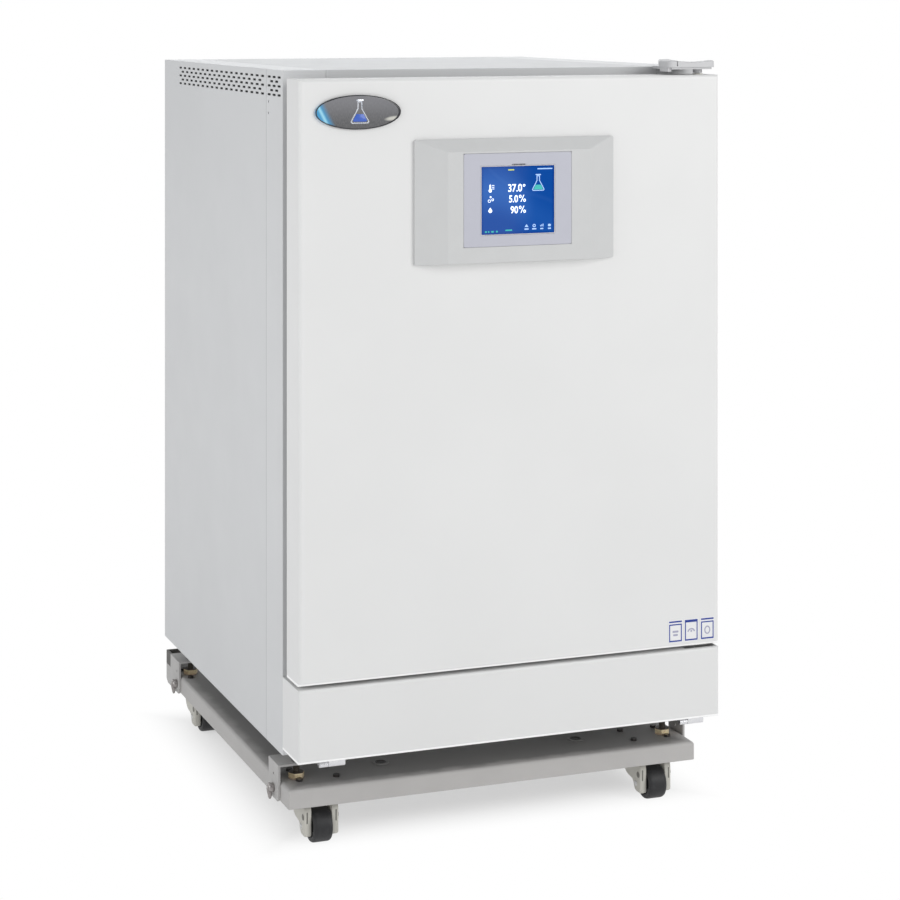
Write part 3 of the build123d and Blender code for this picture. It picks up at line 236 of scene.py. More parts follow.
def brushed(name, rgb, rough=0.3, along="x", line=0.25, depth=0.006):
    """Brushed stainless sheet: long fine scratches along one axis."""
    n = Nodes(name)
    s = {"x": (0.02, 1, 1), "y": (1, 0.02, 1), "z": (1, 1, 0.02)}[along]
    scratch = n.noise(line, 4, 0.7, n.stretch(*s))
    broad = n.noise(7, 3, 0.6, n.stretch(*s))
    cloud = n.smooth(n.noise(90, 3, 0.5), 0.3, 0.7)
    base = n.mix(n.smooth(scratch, 0.3, 0.7), shade(rgb, 0.93), shade(rgb, 1.05))
    base = n.mix(n.math("MULTIPLY", cloud, 0.12), base, shade(rgb, 0.88))
    nrm, mask = n.edge(0.5)
    n.set(Base_Color=base, Metallic=1.0,
          Roughness=n.math("ADD", n.smooth(broad, 0.2, 0.8, rough - 0.06, rough + 0.08), n.smooth(scratch, 0.3, 0.7, 0.0, 0.06)),
          Normal=n.bump(scratch, depth, 0.7, nrm))
    n.bsdf.inputs["Anisotropic"].default_value = 0.35
    return n.mat


def plated(name, rgb, rgb2, rough=0.25, cast=0.0):
    """Zinc or yellow-zinc plate: blotchy passivation, tiny pits, bright edges."""
    n = Nodes(name)
    blot = n.smooth(n.noise(4.5, 4, 0.65, distortion=0.6), 0.35, 0.68)
    pits = n.noise(0.5, 3, 0.7)
    nrm, mask = n.edge(0.35)
    base = n.mix(blot, rgb, rgb2)
    base = n.mix(n.math("MULTIPLY", mask, 0.5), base, tuple(min(1.0, c * 1.2 + 0.05) for c in rgb))
    n.set(Base_Color=base, Metallic=1.0 - cast, Roughness=n.smooth(pits, 0.25, 0.8, rough - 0.07, rough + 0.12),
          Normal=n.bump(pits, 0.02, 0.5, nrm))
    return n.mat


def foam(name, rgb):
    n = Nodes(name)
    cell = n.cells(2.2)
    fib = n.noise(6, 5, 0.7, n.stretch(1, 0.15, 1))
    base = n.mix(n.smooth(cell, 0.1, 0.7), shade(rgb, 0.78), rgb)
    base = n.mix(n.smooth(fib, 0.4, 0.8, 0.0, 0.4), base, shade(rgb, 0.85))
    n.set(Base_Color=base, Roughness=0.9, Normal=n.bump(n.math("ADD", cell, fib), 0.5, 0.6), Specular_IOR_Level=0.2)
    return n.mat


def glass(name):
    n = Nodes(name)
    smear = n.noise(70, 4, 0.6, n.stretch(1, 1, 0.5), distortion=0.8)
    fine = n.noise(2.0, 2, 0.5)
    x, y, z = n.xyz()
    n.set(Base_Color=n.mix(n.smooth(smear, 0.3, 0.8), (0.93, 0.985, 0.965), (0.96, 0.995, 0.985)),
          Roughness=n.smooth(smear, 0.45, 0.8, 0.012, 0.05), IOR=1.5,
          Normal=n.bump(fine, 0.002, 0.2))
    n.bsdf.inputs["Transmission Weight"].default_value = 1.0
    return n.mat


def filter_media(name):
    n = Nodes(name)
    x, y, z = n.xyz()
    fib = n.noise(0.8, 5, 0.75)
    pleat = n.math("SINE", n.math("MULTIPLY", x, 2.2))
    base = n.mix(n.smooth(fib, 0.3, 0.7), (0.84, 0.84, 0.81), (0.93, 0.93, 0.91))
    n.set(Base_Color=base, Roughness=0.95, Normal=n.bump(n.math("ADD", fib, n.math("MULTIPLY", pleat, 0.4)), 0.25, 0.6))
    return n.mat


def box_mask(n, ranges):
    """1 inside the given millimetre ranges of x, y and z."""
    out = None
    for axis, (lo, hi) in ranges.items():
        v = n.xyz()["xyz".index(axis)]
        a = n.math("MULTIPLY", n.math("GREATER_THAN", v, lo), n.math("LESS_THAN", v, hi))
        out = a if out is None else n.math("MULTIPLY", out, a)
    return out


def electronics(name):
    """Steel tray, grey power supply, green board with copper tracks, dark chips and capacitors."""
    n = Nodes(name)
    lo, hi = corners("control_module")
    x, y, z = n.xyz()
    board = box_mask(n, {"z": (lo.z + 13.7, lo.z + 16.0), "x": (lo.x + 125, hi.x)})
    parts = box_mask(n, {"z": (lo.z + 16.0, hi.z + 1), "x": (lo.x + 125, hi.x), "y": (lo.y, hi.y - 8)})
    track = n.node("ShaderNodeTexBrick")
    n.put(track.inputs["Vector"], n.stretch(0.35, 0.35, 0.35))
    track.inputs["Scale"].default_value = 0.9
    track.inputs["Mortar Size"].default_value = 0.03
    track.inputs["Color1"].default_value = (0.02, 0.17, 0.07, 1)
    track.inputs["Color2"].default_value = (0.015, 0.13, 0.06, 1)
    track.inputs["Mortar"].default_value = (0.10, 0.30, 0.11, 1)
    steel = n.mix(n.smooth(n.noise(0.4, 3, 0.6, n.stretch(0.05, 1, 1)), 0.3, 0.7), (0.55, 0.56, 0.57), (0.66, 0.67, 0.68))
    chips = n.mix(n.smooth(n.noise(14, 2, 0.5), 0.45, 0.55), (0.02, 0.02, 0.022), (0.05, 0.06, 0.12))
    base = n.mix(board, steel, track.outputs["Color"])
    base = n.mix(parts, base, chips)
    metal = n.math("SUBTRACT", 1.0, n.math("MAXIMUM", board, parts))
    n.set(Base_Color=base, Metallic=metal, Roughness=n.smooth(n.noise(1.0, 3, 0.6), 0.2, 0.8, 0.28, 0.45),
          Normal=n.bump(n.noise(0.6, 2, 0.6), 0.02, 0.5))
    return n.mat


def screen_picture(name):
    """Lit display: blue field with a soft diagonal wave, dim outside the active area."""
    n = Nodes(name)
    lo, hi = corners("display_screen")
    x, y, z = n.xyz()
    w, h = (hi.x - lo.x), (hi.z - lo.z)
    u = n.math("DIVIDE", n.math("SUBTRACT", x, lo.x), w)
    v = n.math("DIVIDE", n.math("SUBTRACT", z, lo.z), h)
    swing = n.math("MULTIPLY", n.math("SINE", n.math("MULTIPLY", u, 4.6)), 0.13)
    d = n.math("SUBTRACT", n.math("ADD", v, n.math("MULTIPLY", u, 0.42)), n.math("ADD", swing, 0.62))
    band = n.math("SUBTRACT", 1.0, n.smooth(n.math("ABSOLUTE", d), 0.0, 0.42))
    d2 = n.math("SUBTRACT", n.math("ADD", v, n.math("MULTIPLY", u, 0.75)), n.math("ADD", n.math("MULTIPLY", swing, -0.7), 1.08))
    streak = n.math("SUBTRACT", 1.0, n.smooth(n.math("ABSOLUTE", d2), 0.0, 0.05))
    band = n.math("MULTIPLY", band, n.smooth(u, 0.45, 0.75, 1.0, 0.35))
    field = n.mix(band, (0.002, 0.058, 0.30), (0.018, 0.105, 0.40))
    field = n.mix(n.math("MULTIPLY", streak, 0.06), field, (0.08, 0.2, 0.5))
    edge = n.math("MULTIPLY", n.smooth(u, 0.055, 0.085), n.math("SUBTRACT", 1.0, n.smooth(u, 0.915, 0.945)))
    edge = n.math("MULTIPLY", edge, n.math("MULTIPLY", n.smooth(v, 0.06, 0.10), n.math("SUBTRACT", 1.0, n.smooth(v, 0.90, 0.94))))
    field = n.mix(n.math("MULTIPLY", n.math("SUBTRACT", 1.0, edge), 0.5), field, (0.0, 0.03, 0.2))
    face = n.math("LESS_THAN", y, lo.y + 0.4)
    lit = n.mix(face, (0.02, 0.02, 0.02), field)
    pix = n.noise(0.3, 1, 0.5)
    n.set(Base_Color=n.mix(0.75, lit, (0.0, 0.0, 0.0)), Emission_Color=lit, Roughness=n.smooth(pix, 0.2, 0.8, 0.13, 0.2),
          Normal=n.bump(pix, 0.003, 0.3))
    n.put(n.bsdf.inputs["Specular IOR Level"], n.smooth(u, 0.35, 0.75, 0.42, 0.05))
    n.bsdf.inputs["Emission Strength"].default_value = 0.95
    return n.mat


def badge_resin(name):
    """Domed badge: dark grey metallic field, blue glow at its left end, pale glint at the lower right."""
    n = Nodes(name)
    lo, hi = corners("door_badge")
    x, y, z = n.xyz()
    cx, cz = (lo.x + hi.x) / 2, (lo.z + hi.z) / 2
    a, b = (hi.x - lo.x) / 2, (hi.z - lo.z) / 2
    u = n.math("DIVIDE", n.math("SUBTRACT", x, cx), a)
    v = n.math("DIVIDE", n.math("SUBTRACT", z, cz), b)
    r = n.math("SQRT", n.math("ADD", n.math("MULTIPLY", u, u), n.math("MULTIPLY", v, v)))
    grey = n.mix(n.smooth(v, -0.9, 0.9), (0.085, 0.085, 0.088), (0.20, 0.20, 0.215))
    grey = n.mix(n.smooth(n.noise(1.2, 4, 0.7, n.stretch(1, 1, 0.3)), 0.35, 0.7, 0.0, 0.35), grey, (0.26, 0.26, 0.27))
    # blue glow
    g = n.math("ADD", n.math("MULTIPLY", u, 1.0), n.math("MULTIPLY", v, 0.20))
    glow = n.smooth(g, -0.66, -0.86)
    core = n.math("SUBTRACT", 1.0, n.smooth(n.math("ABSOLUTE", n.math("ADD", g, 0.87)), 0.0, 0.07))
    base = n.mix(glow, grey, (0.05, 0.33, 0.62))
    base = n.mix(n.math("MULTIPLY", core, 0.7), base, (0.45, 0.85, 0.98))
    # pale glint
    du = n.math("DIVIDE", n.math("SUBTRACT", u, 0.80), 0.20)
    dv = n.math("DIVIDE", n.math("ADD", n.math("SUBTRACT", v, n.math("MULTIPLY", u, 0.35)), 0.66), 0.14)
    gl = n.math("SUBTRACT", 1.0, n.smooth(n.math("ADD", n.math("MULTIPLY", du, du), n.math("MULTIPLY", dv, dv)), 0.0, 1.2))
    base = n.mix(n.math("MULTIPLY", gl, 0.8), base, (0.74, 0.73, 0.66))
    rim = n.math("MULTIPLY", n.smooth(r, 0.93, 0.955), n.smooth(u, -0.80, -0.62))
    base = n.mix(rim, base, (0.012, 0.012, 0.016))
    n.set(Base_Color=base, Roughness=n.smooth(n.noise(2.0, 3, 0.6), 0.2, 0.8, 0.14, 0.24), Normal=n.bump(n.noise(14, 2, 0.5), 0.05, 0.3))
    n.bsdf.inputs["Coat Weight"].default_value = 0.6
    n.bsdf.inputs["Coat Roughness"].default_value = 0.04
    return n.mat


def ink(name, rgb, glow=0.0, rough=0.45):
    """Screen-printed or lit mark with slightly uneven density."""
    n = Nodes(name)
    d = n.noise(0.7, 3, 0.6)
    base = n.mix(n.smooth(d, 0.3, 0.75, 0.0, 0.5), rgb, shade(rgb, 0.86))
    n.set(Base_Color=base, Roughness=n.smooth(d, 0.2, 0.8, rough - 0.05, rough + 0.08), Normal=n.bump(d, 0.01, 0.4))
    if glow:
        n.put(n.bsdf.inputs["Emission Color"], base)
        n.bsdf.inputs["Emission Strength"].default_value = glow
    return n.mat


def clamp_coat(name, rgb):
    """Textured coat of the foot clamps, with painted shade on the top plate towards the rear return, below the cabinet.
    """
    n = Nodes(name)
    x, y, z = n.xyz()
    lo, hi = corners("foot_clamps")
    # painted shade on the rear part of the top plate, which lies in the shadow below the cabinet
    painted_shade_below_cabinet = n.math("MULTIPLY", n.smooth(y, hi.y - 27.5, hi.y - 26.0), n.smooth(z, lo.z + 31.0, lo.z + 32.5))
    speck = n.noise(0.9, 3, 0.6)
    drift = n.smooth(n.noise(40, 3, 0.6), 0.3, 0.7)
    base = n.mix(drift, shade(rgb, 0.96), shade(rgb, 1.04))
    base = n.mix(n.smooth(speck, 0.5, 0.8, 0.0, 0.4), base, shade(rgb, 0.9))
    base = n.mix(painted_shade_below_cabinet, base, (0.115, 0.110, 0.103))
    nrm, mask = n.edge(0.8)
    base = n.mix(n.math("MULTIPLY", mask, n.math("MULTIPLY", n.math("SUBTRACT", 1.0, painted_shade_below_cabinet), 0.35)), base, shade(rgb, 1.25))
    n.set(Base_Color=base, Roughness=n.smooth(speck, 0.2, 0.8, 0.46, 0.58), Normal=n.bump(n.noise(0.7, 2, 0.5), 0.03, 0.55, nrm), Specular_IOR_Level=0.4)
    return n.mat


def base_coat(name, rgb):
    """Textured coat of the base frame; painted shade darkens its top below the cabinet."""
    n = Nodes(name)
    x, y, z = n.xyz()
    lo, hi = corners("base_frame")
    inx = n.math("SUBTRACT", hi.x, n.math("ABSOLUTE", x))
    iny = n.math("MINIMUM", n.math("SUBTRACT", y, lo.y), n.math("SUBTRACT", hi.y, y))
    inside = n.math("MINIMUM", inx, iny)
    drift = n.noise(120, 3, 0.6)
    speck = n.noise(0.9, 3, 0.6)
    base = n.mix(n.smooth(drift, 0.3, 0.7), shade(rgb, 0.97), shade(rgb, 1.03))
    base = n.mix(n.smooth(speck, 0.5, 0.8, 0.0, 0.35), base, shade(rgb, 0.92))
    # painted shade on the top of the base below the cabinet, deeper inwards from the outer edges
    reach = n.math("ADD", inside, n.smooth(n.noise(35, 3, 0.6), 0.3, 0.7, -3.0, 3.0))
    painted_shade_below_cabinet = n.math("MULTIPLY", n.smooth(reach, 2.0, 24.0, 0.0, 0.62), n.smooth(z, hi.z - 6.0, hi.z - 2.0))
    base = n.mix(painted_shade_below_cabinet, base, shade(rgb, 0.20))
    nrm, mask = n.edge(1.0)
    base = n.mix(n.math("MULTIPLY", mask, 0.3), base, shade(rgb, 1.22))
    n.set(Base_Color=base, Roughness=n.smooth(speck, 0.2, 0.8, 0.48, 0.58), Normal=n.bump(n.noise(0.7, 2, 0.5), 0.03, 0.55, nrm), Specular_IOR_Level=0.4)
    return n.mat


CAB = (0.665, 0.672, 0.68)
DOOR = (0.80, 0.80, 0.795)
side_lo, side_hi = corners("side_panel_left")
ff_lo, ff_hi = corners("front_frame")
tp_lo, tp_hi = corners("top_panel")
SEAM_SIDE = (side_lo.y + ff_hi.y) / 2
SEAM_TOP = (side_hi.x + tp_lo.x) / 2
M = {
    "cabinet_white": coat("cabinet_white_coat", CAB, 0.44, seed=0.0, seam_shading=(("y", SEAM_SIDE, 2.2),), top_bend_highlight_z=side_hi.z),
    "cabinet_rear": coat("cabinet_rear_coat", CAB, 0.44, seed=20.0),
    # the top panel gets the cabinet paint 7 % darker: painted shade on the top
    "cabinet_top": coat("cabinet_top_shaded_coat", shade(CAB, 0.93), 0.44, seed=40.0, seam_shading=(("x", SEAM_TOP, 1.4), ("x", -SEAM_TOP, 1.4))),
    "cabinet_front": coat("cabinet_front_coat", shade(CAB, 1.01), 0.44, seed=80.0, seam_shading=(("y", SEAM_SIDE, 2.2),), top_bend_highlight_z=side_hi.z),
    "door_white": coat("door_white_coat", DOOR, 0.40, seed=12.0, edge_mm=1.0, hem_highlight_z=corners("door_skin")[0].z),
    "panel_white": coat("panel_white_coat", shade(DOOR, 0.985), 0.40, seed=71.0, edge_mm=1.0, hem_highlight_z=corners("lower_panel")[0].z),
    "hinge_cover_grey": coat("hinge_cover_coat", (0.60, 0.60, 0.61), 0.45, orange=0.5),
    "base_grey": coat("base_grey_coat", (0.475, 0.462, 0.450), 0.5, orange=0.7, depth=0.03, wear=0.5, tone=0.03),
    "base_frame": base_coat("base_frame_coat", (0.502, 0.489, 0.478)),
    "clamp_grey": clamp_coat("clamp_grey_coat", (0.50, 0.49, 0.48)),
    "stainless": brushed("stainless_brushed", (0.66, 0.67, 0.68), 0.28, "x"),
    "stainless_up": brushed("stainless_brushed_upright", (0.66, 0.67, 0.68), 0.26, "z"),
    "stainless_deep": brushed("stainless_brushed_depth", (0.68, 0.69, 0.70), 0.30, "y"),
    "zinc_steel": plated("zinc_plate", (0.76, 0.76, 0.74), (0.62, 0.63, 0.66), 0.24),
    "yellow_zinc": plated("yellow_zinc_plate", (0.74, 0.64, 0.38), (0.66, 0.52, 0.32), 0.3),
    "grommet_rubber": rubber("grommet_rubber", (0.075, 0.073, 0.070), 0.6),
    "screw_zinc": plated("screw_zinc_plate", (0.46, 0.44, 0.425), (0.34, 0.31, 0.31), 0.3),
    "hinge_zinc": plated("hinge_bright_plate", (0.86, 0.86, 0.87), (0.80, 0.80, 0.83), 0.2),
    "bolt_oxide": plated("bolt_black_oxide", (0.085, 0.080, 0.078), (0.11, 0.10, 0.095), 0.45),
    "insulation_foam": foam("insulation_board", (0.86, 0.80, 0.60)),
    "gasket_grey": rubber("gasket_rubber", (0.16, 0.16, 0.165), 0.65),
    "bezel_grey": plastic("bezel_moulding", (0.60, 0.605, 0.605), 0.42, grain=0.5),
    "membrane_lilac": plastic("membrane_film", (0.515, 0.52, 0.585), 0.35, grain=0.35, depth=0.008, edge_mm=0.4),
    "trim_white": plastic("trim_moulding", (0.78, 0.78, 0.765), 0.4, grain=0.6),
    "black_plastic": plastic("black_moulding", (0.022, 0.022, 0.024), 0.4, grain=0.5),
    "bush_plastic": plastic("bush_acetal", (0.78, 0.77, 0.70), 0.3, grain=0.3),
    "castor_grey": plastic("castor_nylon", (0.60, 0.585, 0.53), 0.42, grain=0.6, dirt=0.4),
    "tyre_black": rubber("tyre_rubber", (0.022, 0.022, 0.024), 0.5),
    "silicone_white": rubber("silicone_stopper", (0.72, 0.72, 0.68), 0.5),
    "pcb_green": electronics("control_electronics"),
    "filter_white": filter_media("filter_media"),
    "motor_metal": plated("motor_cast", (0.45, 0.46, 0.48), (0.36, 0.37, 0.39), 0.42),
    "glass": glass("glass_toughened"),
    "screen_blue": screen_picture("screen_lit"),
    "badge_dark": badge_resin("badge_domed"),
}
SPECIAL = {
    "top_panel": "cabinet_top", "front_frame": "cabinet_front", "lower_panel": "panel_white",
    "rear_panel": "cabinet_rear", "bottom_pan": "cabinet_rear",
    "foot_clamps": "clamp_grey", "shelf_uprights": "stainless_up", "inner_chamber": "stainless_deep",
    "shelf_brackets": "stainless_deep", "sensor_probes": "stainless_up",
    "base_bolts": "bolt_oxide", "panel_hinge_leaves": "hinge_zinc", "panel_hinge_knuckles": "hinge_zinc",
    "base_frame": "base_frame",
}
slot_of = {}
for node_name, node_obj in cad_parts.items():
    old = node_obj.material_slots[0].material.name if node_obj.material_slots else "cabinet_white"
    slot_of[node_name] = old.split(".")[0]
    pick = SPECIAL.get(node_name, slot_of[node_name])
    for s in node_obj.material_slots:
        s.material = M[pick]


# ====================================================================== mesh helpers
def make(name, verts, faces, material, body, smooth=None, scale=MM):
    """Mesh object from millimetre points, riding on a CAD body."""
    me = bpy.data.meshes.new(name)
    me.from_pydata([tuple(c * scale for c in v) for v in verts], [], faces)
    me.update()
    bm = bmesh.new()
    bm.from_mesh(me)
    bmesh.ops.remove_doubles(bm, verts=bm.verts, dist=1e-6)
    bmesh.ops.recalc_face_normals(bm, faces=bm.faces)
    bm.to_mesh(me)
    bm.free()
    return finish_mesh(name, me, material, body, smooth)


def finish_mesh(name, me, material, body, smooth=None):
    ob = bpy.data.objects.new(name, me)
    scene.collection.objects.link(ob)
    me.materials.clear()
    me.materials.append(material)
    if smooth is not None:
        me.polygons.foreach_set("use_smooth", [True] * len(me.polygons))
        me.set_sharp_from_angle(angle=math.radians(smooth))
    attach(ob, body)
    return ob


class Shape:
    """Collects closed extrusions and turned shapes in millimetres, then makes one object."""

    def __init__(self):
        self.v, self.f = [], []

    def add(self, verts, faces):
        k = len(self.v)
        self.v += [tuple(p) for p in verts]
        self.f += [tuple(i + k for i in f) for f in faces]

    def stack(self, rings, close_first=True, close_last=True):
        """Skin between closed rings of equal length."""
        n = len(rings[0])
        verts = [p for r in rings for p in r]
        faces = []
        for j in range(len(rings) - 1):
            for i in range(n):
                a, b = j * n + i, j * n + (i + 1) % n
                faces.append((a, b, b + n, a + n))
        if close_first:
            faces.append(tuple(range(n))[::-1])
        if close_last:
            faces.append(tuple(range((len(rings) - 1) * n, len(rings) * n)))
        self.add(verts, faces)

    def plate(self, outline, y0, y1, soft=0.0):
        """Outline of (x, z) points extruded from y0 (front) to y1, with a small rounded front edge."""
        rings = []
        if soft > 0:
            rings.append([(x, y0, z) for x, z in inset(outline, soft)])
            rings.append([(x, y0 + soft * 0.3, z) for x, z in inset(outline, soft * 0.3)])
            rings.append([(x, y0 + soft, z) for x, z in outline])
        else:
            rings.append([(x, y0, z) for x, z in outline])
        rings.append([(x, y1, z) for x, z in outline])
        self.stack(rings)

    def band(self, outer, inner, y0, y1, soft=0.0):
        """Closed frame between two (x, z) outlines with the same number of points."""
        if soft > 0:
            prof = [(inner, y1), (inner, y0 + soft), (inset(inner, -soft), y0), (inset(outer, soft), y0), (outer, y0 + soft), (outer, y1)]
        else:
            prof = [(inner, y1), (inner, y0), (outer, y0), (outer, y1)]
        n = len(outer)
        rings = [[(x, y, z) for x, z in o] for o, y in prof]
        rings.append(rings[0])
        self.stack(rings, False, False)

    def turned(self, profile, centre, axis, steps=48):
        """Profile of (radius, distance along axis) turned about an axis through centre."""
        rings = []
        for r, t in profile:
            ring = []
            for i in range(steps):
                a = 2 * math.pi * i / steps
                c, s = math.cos(a) * r, math.sin(a) * r
                if axis == "x":
                    ring.append((centre[0] + t, centre[1] + c, centre[2] + s))
                elif axis == "y":
                    ring.append((centre[0] + c, centre[1] + t, centre[2] + s))
                else:
                    ring.append((centre[0] + c, centre[1] + s, centre[2] + t))
            rings.append(ring)
        self.stack(rings)

    def object(self, name, material, body, slot, smooth=35):
        return make(name, self.v, self.f, material, body, smooth)


def inset(outline, d):
    """Moves a counter-clockwise or clockwise outline inwards by d."""
    n = len(outline)
    area = sum(outline[i][0] * outline[(i + 1) % n][1] - outline[(i + 1) % n][0] * outline[i][1] for i in range(n))
    sgn = 1 if area > 0 else -1
    out = []
    for i in range(n):
        p, q, r = outline[i - 1], outline[i], outline[(i + 1) % n]
        e1 = Vector((q[0] - p[0], q[1] - p[1]))
        e2 = Vector((r[0] - q[0], r[1] - q[1]))
        n1 = Vector((-e1.y, e1.x)).normalized() if e1.length > 1e-9 else Vector((0, 0))
        n2 = Vector((-e2.y, e2.x)).normalized() if e2.length > 1e-9 else Vector((0, 0))
        m = n1 + n2
        if m.length < 1e-6:
            m = n1
        m.normalize()
        k = max(0.35, m.dot(n1)) if n1.length > 0 else 1.0
        out.append((q[0] + sgn * m.x * d / k, q[1] + sgn * m.y * d / k))
    return out


def rrect(cx, cz, w, h, r, n=5):
    pts = []
    for (sx, sz, a0) in ((1, 1, 0), (-1, 1, 90), (-1, -1, 180), (1, -1, 270)):
        for i in range(n + 1):
            a = math.radians(a0 + 90 * i / n)
            pts.append((cx + sx * (w / 2 - r) + r * math.cos(a), cz + sz * (h / 2 - r) + r * math.sin(a)))
    return pts


def oval(cx, cz, a, b, n=72):
    return [(cx + a * math.cos(2 * math.pi * i / n), cz + b * math.sin(2 * math.pi * i / n)) for i in range(n)]


def bevel(ob, width_mm, segments=2, angle=35):
    m = ob.modifiers.new("edge", "BEVEL")
    m.width = width_mm * MM
    m.segments = segments
    m.limit_method = "ANGLE"
    m.angle_limit = math.radians(angle)
    m.harden_normals = False
    return ob


def lettering(name, body, text, size_mm, x, z, y_front, thick, material, align="LEFT", squeeze=1.0, bold=0.0):
    """Digits as a closed mesh standing on the plane y = y_front + thick, facing -Y."""
    cu = bpy.data.curves.new(name + "_c", "FONT")
    cu.body = text
    cu.size = size_mm
    cu.align_x = align
    cu.extrude = thick / 2
    cu.offset = bold
    cu.resolution_u = 6
    tmp = bpy.data.objects.new(name + "_t", cu)
    scene.collection.objects.link(tmp)
    bpy.context.view_layer.update()
    me = bpy.data.meshes.new_from_object(tmp.evaluated_get(bpy.context.evaluated_depsgraph_get()))
    bpy.data.objects.remove(tmp)
    bpy.data.curves.remove(cu)
    me.name = name
    for v in me.vertices:
        px, pz, py = v.co.x * squeeze, v.co.y, v.co.z
        v.co = Vector(((x + px) * MM, (y_front + thick / 2 - py) * MM, (z + pz) * MM))
    bm = bmesh.new()
    bm.from_mesh(me)
    bmesh.ops.remove_doubles(bm, verts=bm.verts, dist=1e-7)
    bmesh.ops.recalc_face_normals(bm, faces=bm.faces)
    bm.to_mesh(me)
    bm.free()
    return finish_mesh(name, me, material, body)


INK_WHITE = ink("ink_white_lit", (0.80, 0.88, 1.0), glow=0.9)
INK_SOFT = ink("ink_soft_lit", (0.34, 0.52, 0.82), glow=0.5)
INK_GREEN = ink("ink_green_lit", (0.03, 0.42, 0.38), glow=0.35)
INK_YELLOW = ink("ink_yellow_lit", (0.55, 0.62, 0.10), glow=0.35)
INK_BLUE = ink("ink_blue", (0.012, 0.045, 0.33))
INK_GREY = ink("ink_grey", (0.42, 0.42, 0.55))
INK_PALE = ink("ink_pale", (0.88, 0.89, 0.92))
TAG_WHITE = plastic("tag_film", (0.84, 0.84, 0.85), 0.3, grain=0.3, depth=0.004)
SILVER = plated("silver_foil", (0.72, 0.74, 0.78), (0.62, 0.66, 0.74), 0.22)

# ====================================================================== display contents
s_lo, s_hi = corners("display_screen")
f_lo, f_hi = corners("display_frame")
Y_SCR = s_lo.y - 0.12
AX0, AX1, AZ0, AZ1 = s_lo.x + 6.2, s_hi.x - 6.2, s_lo.z + 6.2, s_hi.z - 6.2
rows = (AZ1 - 37.6, AZ1 - 53.3, AZ1 - 69.5)
right_edge = AX0 + 62.0
lettering("screen_value_temperature", "outer_door", "37.0", 15.6, right_edge + 3.5, rows[0], Y_SCR, 0.1, INK_WHITE, "RIGHT", 0.86, 0.25)
lettering("screen_value_gas", "outer_door", "5.0", 14.6, right_edge - 3.0, rows[1], Y_SCR, 0.1, INK_WHITE, "RIGHT", 0.84, 0.25)
lettering("screen_value_humidity", "outer_door", "90", 14.6, right_edge - 3.0, rows[2], Y_SCR, 0.1, INK_WHITE, "RIGHT", 0.84, 0.25)
units = Shape()
# degree ring and two per-cent signs
units.band(oval(right_edge + 6.6, rows[0] + 8.6, 2.0, 2.0, 24), oval(right_edge + 6.6, rows[0] + 8.6, 1.0, 1.0, 24), Y_SCR, Y_SCR + 0.1)
for zc in rows[1:]:
    for (dx, dz) in ((0.4, 8.2), (7.4, 2.4)):
        units.band(oval(right_edge + dx, zc + dz, 2.1, 2.4, 20), oval(right_edge + dx, zc + dz, 0.9, 1.2, 20), Y_SCR, Y_SCR + 0.1)
    units.plate([(right_edge + 0.9, zc + 0.2), (right_edge + 2.3, zc + 0.2), (right_edge + 7.0, zc + 10.4), (right_edge + 5.6, zc + 10.4)], Y_SCR, Y_SCR + 0.1)
units.object("screen_units", INK_WHITE, "outer_door", "screen_blue", None)

icons = Shape()
ix = AX0 + 14.5
# thermometer
icons.plate(rrect(ix, rows[0] + 6.6, 2.6, 9.0, 1.3), Y_SCR, Y_SCR + 0.1)
icons.plate(oval(ix, rows[0] + 2.0, 2.6, 2.6, 28), Y_SCR, Y_SCR + 0.1)
for k in range(3):
    icons.plate(rrect(ix + 4.6, rows[0] + 4.6 + 2.6 * k, 3.6, 0.9, 0.3), Y_SCR, Y_SCR + 0.1)
# three bubbles
for (dx, dz, r) in ((-1.4, 2.6, 2.3), (3.8, 4.4, 1.9), (0.6, 8.4, 1.5)):
    icons.band(oval(ix + dx, rows[1] + dz, r, r, 24), oval(ix + dx, rows[1] + dz, r - 0.8, r - 0.8, 24), Y_SCR, Y_SCR + 0.1)
# drop
drop = []
for i in range(28):
    a = math.pi * (0.5 + 2 * i / 28)
    r = 3.0 * (1 + 0.55 * max(0.0, math.sin(a)) ** 6)
    drop.append((ix + r * math.cos(a) * (1 - 0.45 * max(0, math.sin(a)) ** 2), rows[2] + 4.4 + r * math.sin(a)))
icons.plate(drop, Y_SCR, Y_SCR + 0.1)
icons.object("screen_row_icons", INK_WHITE, "outer_door", "screen_blue", None)

soft = Shape()
for k in range(4):
    bx = AX0 + 72.6 + 12.3 * k
    bz = AZ0 + 9.0
    if k == 0:
        soft.plate([(bx - 3.2, bz + 0.4), (bx + 3.2, bz + 0.4), (bx, bz + 4.6)], Y_SCR, Y_SCR + 0.1)
    elif k == 1:
        soft.band(oval(bx, bz + 2.2, 2.6, 2.4, 20), oval(bx, bz + 2.2, 1.3, 1.2, 20), Y_SCR, Y_SCR + 0.1)
    elif k == 2:
        for j in range(3):
            soft.plate(rrect(bx - 2 + 2 * j, bz + 1.6 + 0.5 * j, 1.2, 2.0 + 1.0 * j, 0.3), Y_SCR, Y_SCR + 0.1)
    else:
        soft.plate(rrect(bx, bz + 2.2, 4.6, 3.6, 1.2), Y_SCR, Y_SCR + 0.1)
    soft.plate(rrect(bx, bz - 2.6, 7.0 if k < 2 else 5.0, 1.9, 0.6), Y_SCR, Y_SCR + 0.1)
soft.plate(rrect(AX1 - 15.0, AZ1 - 5.0, 24.0, 1.7, 0.5), Y_SCR, Y_SCR + 0.1)
soft.object("screen_key_marks", INK_SOFT, "outer_door", "screen_blue", None)
green = Shape()
for (dx, w) in ((7.5, 3.0), (12.0, 2.2), (18.0, 4.0), (25.0, 3.0)):
    green.plate(rrect(AX0 + dx, AZ0 + 4.2, w, 2.4, 0.6), Y_SCR, Y_SCR + 0.1)
